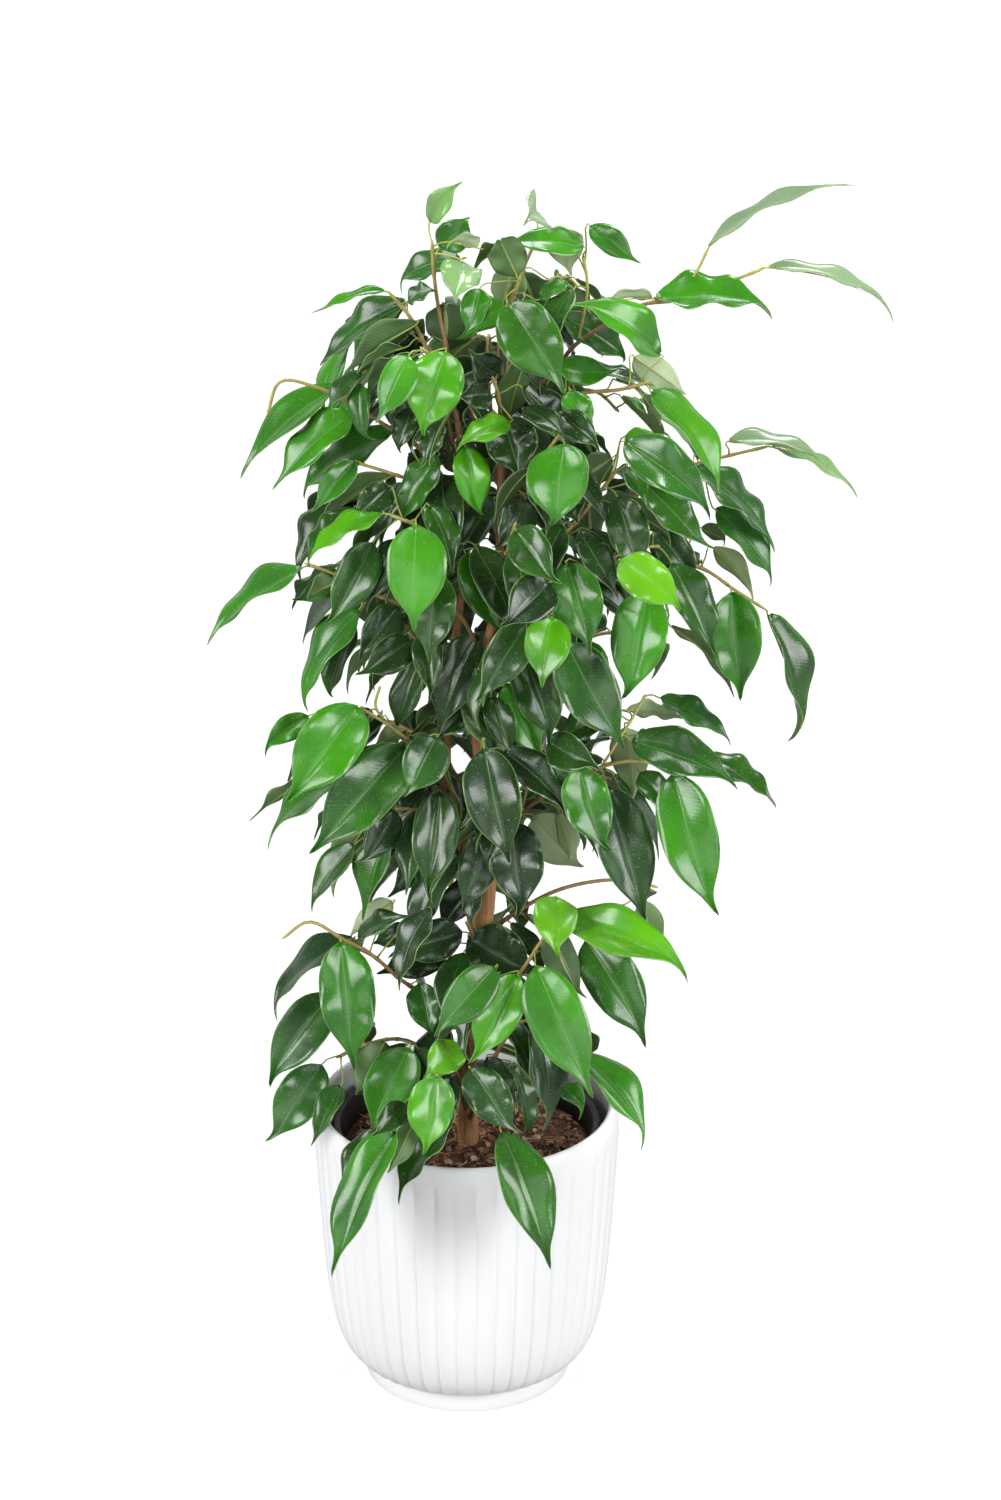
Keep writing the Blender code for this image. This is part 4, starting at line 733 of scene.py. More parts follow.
@dataclass
class Blade:
    """A placed leaf: its stalk's root, its blade's base and tip, its width, its face's way and its tone, its
    age with painted light in places.
    """

    root: Vector
    base: Vector
    tip: Vector
    width: float
    face: Vector
    stations: Profile
    tone: float = 0.3

    def frame(self, share: float) -> tuple[Vector, Vector, Vector]:
        """Give the midrib's place, width direction and face direction at a share of the blade's length.

        Args:
            share: From 0 at the base to 1 at the tip.

        Returns:
            The place and the two directions.
        """
        axis = self.tip - self.base
        length = axis.length
        lift = self.face * (DROOP * length * 4.0 * share * (1.0 - share))
        slope = self.face * (DROOP * length * 4.0 * (1.0 - 2.0 * share))
        along = (axis + slope).normalized()
        across = along.cross(self.face).normalized()
        return self.base + axis * share + lift, across, across.cross(along).normalized()

    def stalk_sections(self) -> list[Section]:
        """Give the corners of the stalk's section at its root and at the blade's base.

        Returns:
            The three corners of each section.
        """
        stalk_way = (self.base - self.root).normalized()
        blade_way = (self.tip - self.base).normalized()
        across = self.frame(0.0)[1]
        sections = []
        middle_way = (stalk_way + blade_way).normalized()
        ends = ((self.root, stalk_way, ROOT_RADIUS), (self.base, middle_way, PETIOLE_RADIUS))
        for place, way, radius in ends:
            level = across - way * across.dot(way)
            if level.length < 0.2:
                level = self.face - way * self.face.dot(way)
            level.normalize()
            face = level.cross(way)
            side = level * radius
            sections.append((place - side + face * radius * 0.5, place + side + face * radius * 0.5,
                             place - face * radius))
        return sections

    def blade_sections(self, spread: float = 0.0) -> list[Section]:
        """Give the left edge, right edge and keel at each station of the blade, grown by a spread.

        Args:
            spread: How far they grow.

        Returns:
            The three corners at each station.
        """
        sections = []
        for share, part in self.stations:
            place, across, face = self.frame(share)
            half = across * (0.5 * self.width * part + spread)
            sections.append((place - half, place + half, place - face * (KEEL * part ** 0.5 + spread)))
        return sections

    def loft(self) -> Shape:
        """Give the points and faces of the whole leaf as one closed solid."""
        return loft_faces([*self.stalk_sections(), *self.blade_sections()], self.tip)

    def stalk_solid(self) -> Shape:
        """Give the points and faces of the stalk beyond its twig, for tests of room.

        Returns:
            The points and faces.
        """
        root, base = self.stalk_sections()
        share = min(0.6, 0.0035 / (self.base - self.root).length)
        start = tuple(low.lerp(high, share) for low, high in zip(root, base))
        return loft_faces([start, base], self.base + (self.tip - self.base) * 0.05)

    def blade_solid(self, spread: float) -> Shape:
        """Give the points and faces of the blade alone as a body with a spread all round.

        Args:
            spread: How far it grows.

        Returns:
            The points and faces.
        """
        faces_way = self.face * spread
        sections = []
        _, base = self.stalk_sections()
        for left, right, keel in (base, *self.blade_sections(spread)):
            sections.append((left + faces_way, right + faces_way, keel))
        return loft_faces(sections, self.tip + (self.tip - self.base).normalized() * spread)


@dataclass
class Branch:
    """A placed spray: its twigs as lists of places with radii, its leaves, and how many its solid holds."""

    name: str
    twigs: list[Twig]
    blades: list[Blade]
    own: int = 0


BladeMaker = Callable[[int], Blade]


@dataclass
class RuledLeaf:
    """A leaf placed by rule: where it leaves its twig, and a variant for each of its trial positions.

    side is -1 or 1 for the twig's sides and 0 for its end, and outward is the twig's way. A variant holds a
    swing and a roll in degrees and a drop. stalk_mm is the shortest stalk and what each further trial adds.
    """

    place: Vector
    side: int
    outward: Vector
    length: float
    variants: Sequence[Sequence[float]]
    tone: float = 0.3
    side_angle: float = 62.0
    side_roll: float = 0.0
    rise: float = 0.20
    fall: float = 0.72
    stalk_mm: tuple[int, int] = (9, 3)
    broad: float = 1.0

    def blade(self, trial: int) -> Blade:
        """Make the leaf at a trial position.

        Args:
            trial: The position's number.

        Returns:
            The placed leaf.
        """
        swing, roll, drop = self.variants[trial]
        way = Matrix.Rotation(math.radians(self.side * self.side_angle + swing), 3, "Z") @ self.outward
        stalk_mm = self.stalk_mm[0] + trial % 4 * self.stalk_mm[1]
        base = self.place + (way + Vector((0.0, 0.0, self.rise))).normalized() * stalk_mm * MM
        axis = (way * 0.62 + Vector((0.0, 0.0, drop - self.fall))).normalized()
        face = way * 0.78 + Vector((0.0, 0.0, 0.62))
        face = (face - axis * face.dot(axis)).normalized()
        face = Matrix.Rotation(math.radians(roll + self.side * self.side_roll), 3, axis) @ face
        width = min(BLADE_RATIO * self.length * self.broad, BLADE_WIDTH_RANGE[1])
        return Blade(self.place, base, base + axis * self.length, width, face, REAR_STATIONS, self.tone)


def stem_routes() -> list[Twig]:
    """Give every stem's places and radii, with the trunk carried down into the soil.

    Returns:
        The places and radii of each stem.
    """
    routes = []
    for stem in STEMS:
        places = [LENS.point(px, py, depth) for px, py, depth, _ in stem.points]
        radii = [radius * MM for *_, radius in stem.points]
        if stem.name == "trunk":
            places.insert(0, Vector((places[0].x, places[0].y, TRUNK_FOOT_Z)))
            radii.insert(0, radii[0])
        routes.append((places, radii))
    return routes


def leaf_places(twig: Route, number: int) -> Route:
    """Give the places along a twig where leaves may root, away from its start and its end."""
    return walk_route(twig, 29)[4 if number else 6:-1]


def leaf_face(base: Vector, axis: Vector, tilt: float) -> Vector:
    """Give the way a leaf's upper side looks.

    Args:
        base: The blade's base.
        axis: The blade's way.
        tilt: Its turn about its axis, away from the camera.

    Returns:
        The way on whichever side looks more up and outward.
    """
    view = (CAMERA_PLACE - base).normalized()
    front = (view - axis * view.dot(axis)).normalized()
    outward = Vector((base.x, base.y, 0.06)).normalized()
    choices = [Matrix.Rotation(turn, 3, axis) @ front for turn in (tilt, -tilt)]
    return max(choices, key=lambda face: face.z + 0.6 * face.dot(outward))


class Canopy:
    """Places every twig and leaf, each clear of all that was placed before it."""

    def __init__(self) -> None:
        """Start with the stems, the pots and the soil."""
        self.random = random.Random(SEED)
        self.stems = stem_routes()
        self.solids: list[Solid] = []
        self.bark: list[Solid] = []
        for places, radii in self.stems:
            bark = [radius + BARK_MARGIN for radius in radii]
            cover = [radius * STEM_SWELL + GAP for radius in radii]
            self.bark.append(Solid(*tube_shell(places, bark, 10)))
            self.solids.append(Solid(*tube_shell(places, cover, 10)))
        self.solids.append(Solid(*turned_shell((*POT_OUTSIDE, *POT_INSIDE))))
        nursery = ((NURSERY_TOP_RADIUS, 0.150), (NURSERY_RIM_RADIUS, NURSERY_TOP_Z - 0.010),
                   (NURSERY_RIM_RADIUS, NURSERY_TOP_Z), (NURSERY_TOP_RADIUS, NURSERY_TOP_Z),
                   (NURSERY_TOP_RADIUS - NURSERY_WALL, 0.150))
        self.solids.append(Solid(*turned_shell(nursery)))
        self.solids.append(Solid(*lid_shell(NURSERY_TOP_RADIUS, SOIL_LEVEL + 2 * SOIL_ROUGHNESS)))
        self.branches: list[Branch] = []
        self.outlines: list[tuple[tuple[int, int], tuple[int, int], float]] = []

    def is_clear(self, solid: Solid, owner: str = "") -> bool:
        """Tell whether a shape touches nothing that is placed, but for its owner's own twigs."""
        return not any(solid.touches(other) for other in self.solids if not owner or other.owner != owner)

    def rooted_route(self, guide: Route, shift: Vector) -> Route:
        """Lead a twig from just off its stem through its guide.

        Args:
            guide: The twig's rough points.
            shift: How far its outer points move.

        Returns:
            The twig's points.
        """
        best = None
        for places, radii in self.stems:
            distance, place, index, share = nearest_on(places, guide[0])
            if best is None or distance < best[0]:
                radius = radii[index] + (radii[index + 1] - radii[index]) * share
                best = (distance, place, (places[index + 1] - places[index]).normalized(), radius)
        _, place, along, radius = best
        away = guide[1] + shift - place
        away = (away - along * away.dot(along)).normalized()
        start = place + away * (radius + TWIG_GAP)
        moved = [point + shift * min(1.0, 0.4 + 0.3 * index) for index, point in enumerate(guide[1:])]
        return [start, start + away * TWIG_FOOT, *moved]

    def place_twig(self, guide: Route, owner: str) -> Optional[Twig]:
        """Place a smooth twig, moved forward or back until it is clear of the others.

        Args:
            guide: The twig's rough points.
            owner: The spray that it belongs to.

        Returns:
            Its places and radii, or None where it finds no room.
        """
        reach = sum((after - before).length for before, after in zip(guide, guide[1:]))
        for shift_mm in TWIG_SHIFTS_MM:
            for lift_mm in TWIG_LIFTS_MM:
                route = self.rooted_route(guide, Vector((0.0, shift_mm, lift_mm)) * MM)
                twig = [route[0], *smooth_route(route[1:], 2 + math.ceil(reach / TWIG_STEP))]
                thin = (TWIG_RADII[1] - TWIG_RADII[0]) / (len(twig) - 1)
                radii = [TWIG_RADII[0] + thin * index for index in range(len(twig))]
                shortened = [twig[0].lerp(twig[1], 0.5), *twig[1:]]
                whole = Solid(*tube_shell(twig, radii), owner)
                if any(whole.touches(stem) for stem in self.bark):
                    continue
                if self.is_clear(Solid(*tube_shell(shortened, [radius + CLEARANCE for radius in radii]))):
                    self.solids.append(whole)
                    return twig, radii
        return None

    def place_side_twig(self, guide: Route, main: Twig, owner: str) -> Twig:
        """Place a side twig that roots in the middle of its main twig.

        Args:
            guide: The twig's rough points.
            main: The main twig.
            owner: The spray that it belongs to.

        Returns:
            Its places and radii.
        """
        _, place, _, _ = nearest_on(main[0], guide[0])
        route = smooth_route([place, *guide[1:]], max(4, len(guide)))
        self.solids.append(Solid(*tube_shell(route, [SIDE_TWIG_RADIUS] * len(route)), owner))
        return route, [SIDE_TWIG_RADIUS] * len(route)

    def place_leaf(
        self, branch: Branch, blade_of: BladeMaker, tries: int,
        suits: Optional[Callable[[Blade], bool]] = None,
    ) -> bool:
        """Add a leaf to a branch at the first of its trial positions that is clear.

        Args:
            branch: The branch.
            blade_of: Makes the leaf at a trial position.
            tries: How many trial positions there are.
            suits: Tells whether the leaf may stand there, where more is asked than room.

        Returns:
            True if the leaf was placed.
        """
        for blade in map(blade_of, range(tries)):
            if (suits and not suits(blade)) or crosses_itself(*blade.loft()):
                continue
            if not self.is_clear(Solid(*blade.blade_solid(CLEARANCE)), branch.name):
                continue
            if self.is_clear(Solid(*blade.stalk_solid()), branch.name):
                self.solids.append(Solid(*blade.blade_solid(GAP)))
                self.solids.append(Solid(*blade.stalk_solid()))
                branch.blades.append(blade)
                return True
        return False

    def root_on(self, branch: Branch, base: Vector, way: Vector) -> Vector:
        """Find where a leaf with its base and way here leaves the twigs.

        Args:
            branch: The branch.
            base: The blade's base.
            way: The blade's way.

        Returns:
            A place on a twig, clear of the other leaves' roots.
        """
        taken = [blade.root for blade in branch.blades]
        best = None
        for number, (twig, _) in enumerate(branch.twigs):
            for place in leaf_places(twig, number):
                stalk = base - place
                crowding = sum(CROWDING_COST for other in taken if (place - other).length < ROOT_SPACING)
                bend = 1.0 - stalk.dot(way) / max(stalk.length, 1e-6)
                cost = stalk.length + crowding + bend * STALK_BEND_COST
                if best is None or cost < best[0]:
                    best = (cost, place)
        return best[1]

    def twig_depth(self, branch: Branch, base_px: tuple[int, int]) -> float:
        """Give the depth of the place on a branch's twigs that shows nearest a pixel.

        Args:
            branch: The branch.
            base_px: The pixel.

        Returns:
            The depth in metres.
        """
        best = None
        for number, (twig, _) in enumerate(branch.twigs):
            for place in leaf_places(twig, number):
                distance = (LENS.point(*base_px, place.y / MM) - place).length
                if best is None or distance < best[0]:
                    best = (distance, place.y)
        return best[1]

    def photo_blade(self, leaf: Leaf, branch: Branch, trial: int) -> Blade:
        """Make a leaf read from the photograph at a trial position.

        Args:
            leaf: The leaf as read.
            branch: The branch that it grows on.
            trial: The position's number, which picks its slide in depth, its lean and its turn.

        Returns:
            The placed leaf.
        """
        variant, slide = divmod(trial, len(SLIDES_MM))
        turn, lean = divmod(variant, len(LEANS))
        depth = self.twig_depth(branch, leaf.base_px) / MM - leaf.near_mm + SLIDES_MM[slide]
        base = LENS.point(*leaf.base_px, depth)
        seen = (LENS.point(*leaf.tip_px, depth) - base).length
        length = max(seen * LEAST_SLANT, min(USUAL_BLADE, seen * MOST_SLANT))
        if leaf.long_mm:
            length = leaf.long_mm * MM
        slant = math.sqrt(max(0.0, length * length - seen * seen)) * LEANS[lean]
        slant *= -1.0 if depth < 6 else 1.0
        if not leaf.long_mm:
            slant *= min(1.0, 0.25 + abs(depth) / 60.0)
        tip = LENS.point(*leaf.tip_px, depth + slant / MM)
        axis = (tip - base).normalized()
        width = min(max(BLADE_RATIO * (tip - base).length, BLADE_WIDTH_RANGE[0]), BLADE_WIDTH_RANGE[1])
        across = leaf.across_px / FOCAL_PX * (base - CAMERA_PLACE).length
        width = max(width, min(across, BLADE_WIDTH_RANGE[1] * 1.15))
        width = min(width, across * 2.2)
        tilt = math.acos(max(0.0, min(1.0, across / width))) + math.radians(TURNS[turn])
        face = leaf_face(base, axis, math.pi - tilt if leaf.under else tilt)
        root = self.root_on(branch, base, axis)
        if (base - root).length < SHORTEST_STALK:
            base = root + (base - root + axis * 0.8 * SHORTEST_STALK).normalized() * SHORTEST_STALK
        stations = FRONT_STATIONS if leaf.near_mm > -5 else REAR_STATIONS
        return Blade(root, base, tip, width, face, stations, leaf.tone)

    def hidden_leaf(self, place: Vector, side: int, outward: Vector) -> RuledLeaf:
        """Draw a leaf of a hidden spray.

        Args:
            place: Where it leaves its twig.
            side: -1 or 1 for the twig's sides, 0 for its end.
            outward: The way its twig goes.

        Returns:
            The leaf.
        """
        draw = self.random
        length = draw.uniform(*HIDDEN_LENGTHS)
        spreads = (SWING, ROLL, DROP)
        variants = [[draw.uniform(-most, most) for most in spreads] for _ in range(HIDDEN_TRIES)]
        return RuledLeaf(
            place, side, outward, length, variants,
            side_angle=SIDE_ANGLE, side_roll=14.0, rise=0.25, fall=0.78, stalk_mm=(10, 2), broad=1.02,
        )

    def is_covered(self, blade: Blade) -> bool:
        """Tell whether a leaf placed by rule shows only where the photograph has foliage.

        Args:
            blade: The placed leaf.

        Returns:
            True if it does.
        """
        seen = 0
        for px, py in (LENS.pixel(place) for place in blade_marks(blade)):
            if is_open(px, py):
                return False
            if self.foliage_at(px, py):
                seen += 1
        return seen >= len(LEAF_MARKS) - 1

    def foliage_at(self, px: float, py: float) -> bool:
        """Tell whether a pixel lies on a leaf read from the photograph, or close beside it.

        Args:
            px: Pixel column.
            py: Pixel row.

        Returns:
            True if it does.
        """
        for (ax, ay), (bx, by), half in self.outlines:
            dx, dy = bx - ax, by - ay
            share = max(0.0, min(1.0, ((px - ax) * dx + (py - ay) * dy) / (dx * dx + dy * dy)))
            taper = half * (1.0 - 0.75 * max(0.0, share - 0.5) / 0.5)
            if math.hypot(px - ax - dx * share, py - ay - dy * share) < taper + 3:
                return True
        return False

    def grow_photo_sprays(self) -> None:
        """Grow every spray that shows from the front: first all their twigs, then their leaves."""
        waiting = []
        for spray in SPRAYS:
            twig = self.place_twig([LENS.point(*point) for point in spray.route], spray.name)
            branch = Branch(spray.name, [twig], [])
            for side in spray.sides:
                guide = [LENS.point(*point) for point in side]
                branch.twigs.append(self.place_side_twig(guide, twig, spray.name))
            self.branches.append(branch)
            for leaf in map(Leaf.read, spray.leaves):
                self.outlines.append((leaf.base_px, leaf.tip_px, leaf.across_px / 2))
                waiting.append((leaf, branch))
        waiting.sort(key=lambda entry: -entry[0].near_mm)
        tries = len(SLIDES_MM) * len(LEANS) * len(TURNS)
        for leaf, branch in waiting:
            self.place_leaf(branch, partial(self.photo_blade, leaf, branch), tries)

    def grow_hidden_sprays(self) -> None:
        """Grow sprays by rule round the sides and back, where the photograph shows none."""
        missing = 0
        for number in range(HIDDEN_SPRAYS):
            share = (number + 0.5) / HIDDEN_SPRAYS
            height = HIDDEN_HEIGHTS[0] + (HIDDEN_HEIGHTS[1] - HIDDEN_HEIGHTS[0]) * share
            spread = (number * GOLDEN_SHARE) % 1.0
            turn = math.radians(HIDDEN_ANGLES[0] + (HIDDEN_ANGLES[1] - HIDDEN_ANGLES[0]) * spread)
            outward = Vector((math.cos(turn), math.sin(turn), 0.0))
            reach = self.random.uniform(*HIDDEN_REACH) * (1.0 - 0.25 * max(0.0, share - 0.6))
            start = Vector((0.015, 0.012, height))
            rise = Vector((0.0, 0.0, 0.030 + 0.055 * share))
            guide = [
                start, start + outward * reach * 0.35 + rise * 0.75, start + outward * reach * 0.72 + rise,
                start + outward * reach + rise * 0.72,
            ]
            branch = Branch(f"rear_{number + 1 - missing:02d}", [], [])
            twig = self.place_twig(guide, branch.name)
            if twig is None:
                missing += 1
                continue
            branch.twigs.append(twig)
            places = walk_route(twig[0][1:], HIDDEN_LEAVES)
            for index, place in enumerate(places[1:]):
                ahead = places[min(index + 2, len(places) - 1)] - places[index]
                ahead.z = 0.0
                side = 0 if index == len(places) - 2 else (1 if index % 2 else -1)
                root = place if side else places[-1].lerp(places[-2], 0.25)
                leaf = self.hidden_leaf(root, side, ahead.normalized())
                self.place_leaf(branch, leaf.blade, HIDDEN_TRIES, self.is_covered)
            self.branches.append(branch)

    def grow(self) -> None:
        """Grow all the branches of the model, from the front to the back."""
        self.grow_photo_sprays()
        self.grow_hidden_sprays()


def blade_marks(blade: Blade) -> Route:
    """Give seven places spread over a leaf's blade.

    Args:
        blade: The placed leaf.

    Returns:
        The places.
    """
    marks = []
    for share, reach in LEAF_MARKS:
        place, across, _ = blade.frame(share)
        marks.append(place + across * (reach * 0.5 * blade.width))
    return marks


def is_open(px: float, py: float) -> bool:
    """Tell whether a pixel lies in a gap that the photograph shows in the crown."""
    return any((px - x) ** 2 + (py - y) ** 2 < radius * radius for x, y, radius in OPENINGS)


@dataclass
class Infill:
    """Leaves grown inside the crown and round its back, beyond those that the solids hold.

    They never stand before a leaf read from the photograph, and show only where it has dense foliage.
    variant_ends are the ends of swing and roll in degrees and of drop. tone grows by outer_light a metre
    beyond the shaded radius.
    """

    canopy: Canopy
    steps: int = 12
    tries: int = 14
    lengths: tuple[float, float] = (0.046, 0.072)
    tones: tuple[float, float] = (0.0, 0.3)
    variant_ends: Profile = ((-60.0, 60.0), (-55.0, 55.0), (-0.5, 0.35))
    outer_light: float = 2.6
    shaded: float = 0.05
    chance: random.Random = field(default_factory=lambda: random.Random(SEED + 7))

    def __post_init__(self) -> None:
        """Gather the photograph's leaves, to tell what stands before what."""
        points: Route = []
        faces: list[tuple[int, ...]] = []
        for branch in self.canopy.branches:
            if branch.name.startswith("rear"):
                continue
            for blade in branch.blades:
                first = len(points)
                own_points, own_faces = blade.loft()
                points.extend(own_points)
                faces.extend(tuple(first + corner for corner in face) for face in own_faces)
        self.front = BVHTree.FromPolygons(points, faces)

    def add_seen(self) -> None:
        """Add the leaves of the photograph that no solid holds."""
        tries = len(SLIDES_MM) * len(LEANS) * len(TURNS)
        for name, leaf in EXTRA_LEAVES:
            branch = next(branch for branch in self.canopy.branches if branch.name == name)
            placed = self.canopy.place_leaf(branch, partial(self.canopy.photo_blade, leaf, branch), tries)
            LOG.info("extra leaf at %s on %s: %s", leaf.base_px, name, "placed" if placed else "no room")

    def bring_forward(self) -> None:
        """Bring the leaves that hide a twig or a leaf in the photograph in front of it."""
        for (px, py), distance in FORWARD_LEAVES:
            for branch in self.canopy.branches:
                for number, blade in enumerate(branch.blades):
                    seen = LENS.pixel(blade.base)
                    if math.hypot(seen[0] - px, seen[1] - py) > 4:
                        continue
                    shift = (LENS.place - blade.base).normalized() * distance * MM
                    base = blade.base + shift
                    nearest = [nearest_on(twig, base)[:2] for twig, _ in branch.twigs]
                    root = min(nearest, key=lambda found: found[0])[1]
                    branch.blades[number] = replace(blade, root=root, base=base, tip=blade.tip + shift)
                    LOG.info("brought a leaf of %s forward by %g mm", branch.name, distance)

    def suits(self, blade: Blade) -> bool:
        """Tell whether a leaf is behind the photograph's leaves or in a dense place.

        Args:
            blade: The placed leaf.

        Returns:
            True if it is.
        """
        for place in blade_marks(blade):
            px, py = LENS.pixel(place)
            if is_open(px, py):
                return False
            way = (place - LENS.place).normalized()
            _, _, _, distance = self.front.ray_cast(LENS.place, way)
            reach = (place - LENS.place).length
            if distance is None:
                if not is_dense(px, py):
                    return False
            elif distance > reach - MM:
                return False
        return True

    def inner_leaf(self, place: Vector, side: int, outward: Vector) -> RuledLeaf:
        """Draw an inner leaf.

        Args:
            place: Where it leaves its twig.
            side: -1 or 1 for the twig's sides.
            outward: The way its twig goes.

        Returns:
            The leaf.
        """
        draw = self.chance
        length = draw.uniform(*self.lengths)
        light = self.outer_light * max(0.0, math.hypot(place.x, place.y) - self.shaded)
        tone = draw.uniform(*self.tones) + light
        variants = [[draw.uniform(*ends) for ends in self.variant_ends] for _ in range(self.tries)]
        return RuledLeaf(place, side, outward, length, variants, tone)

    def grow(self) -> int:
        """Grow the inner leaves.

        Returns:
            How many found room.
        """
        placed = 0
        for branch in self.canopy.branches:
            for number, (twig, _) in enumerate(branch.twigs):
                places = walk_route(twig, self.steps)
                for index, place in enumerate(places[1:-1]):
                    ahead = places[index + 2] - places[index]
                    ahead.z = 0.0
                    side = 1 if (index + number) % 2 else -1
                    leaf = self.inner_leaf(place, side, ahead.normalized())
                    placed += self.canopy.place_leaf(branch, leaf.blade, self.tries, self.suits)
        return placed


def is_dense(px: float, py: float) -> bool:
    """Tell whether a pixel lies where the photograph's crown is dense.

    Args:
        px: Pixel column.
        py: Pixel row.

    Returns:
        True if it does.
    """
    rows = [row for row, _, _ in DENSE_ROWS]
    if not rows[0] <= py <= rows[-1]:
        return False
    left = np.interp(py, rows, [low for _, low, _ in DENSE_ROWS])
    right = np.interp(py, rows, [high for _, _, high in DENSE_ROWS])
    return left < px < right


class NodeSheet:
    """A tree of shader nodes, with short calls to add them."""

    def __init__(self, tree: bpy.types.NodeTree) -> None:
        """Start on a tree that is there."""
        self.tree = tree

    def node(self, kind: str, **feeds: Feed) -> bpy.types.Node:
        """Add a node and feed its sockets, named by their labels with _ for a space.

        Args:
            kind: The node's type.
            **feeds: A value or another node's output for each socket.

        Returns:
            The node.
        """
        made = self.tree.nodes.new(kind)
        for label, feed in feeds.items():
            self.feed(made.inputs[label.replace("_", " ")], feed)
        return made

    def feed(self, socket: Socket, feed: Feed) -> None:
        """Link an output to a socket, or set its value.

        Args:
            socket: The input.
            feed: The output or value.
        """
        if isinstance(feed, Socket):
            self.tree.links.new(feed, socket)
        elif socket.type == "RGBA":
            socket.default_value = (*feed, 1.0)
        else:
            socket.default_value = feed

    def math(self, operation: str, first: Feed, second: Feed = 0.0) -> Socket:
        """Work out a number from one or two others.

        Args:
            operation: The node's name for what is done.
            first: The first number.
            second: The second number.

        Returns:
            The output.
        """
        made = self.tree.nodes.new("ShaderNodeMath")
        made.operation = operation
        self.feed(made.inputs[0], first)
        self.feed(made.inputs[1], second)
        return made.outputs[0]

    def spread(
        self, value: Feed, low: float, high: float, to_low: Feed, to_high: Feed, ends: str = "LINEAR",
    ) -> Socket:
        """Carry a number from one range to another, held at both ends.

        Args:
            value: The number.
            low: Where the range that it comes from starts.
            high: Where that range ends.
            to_low: What it becomes at the start.
            to_high: What it becomes at the end.
            ends: How it runs from one to the other.

        Returns:
            The output.
        """
        made = self.node(
            "ShaderNodeMapRange", Value=value, From_Min=low, From_Max=high, To_Min=to_low, To_Max=to_high,
        )
        made.interpolation_type = ends
        return made.outputs["Result"]


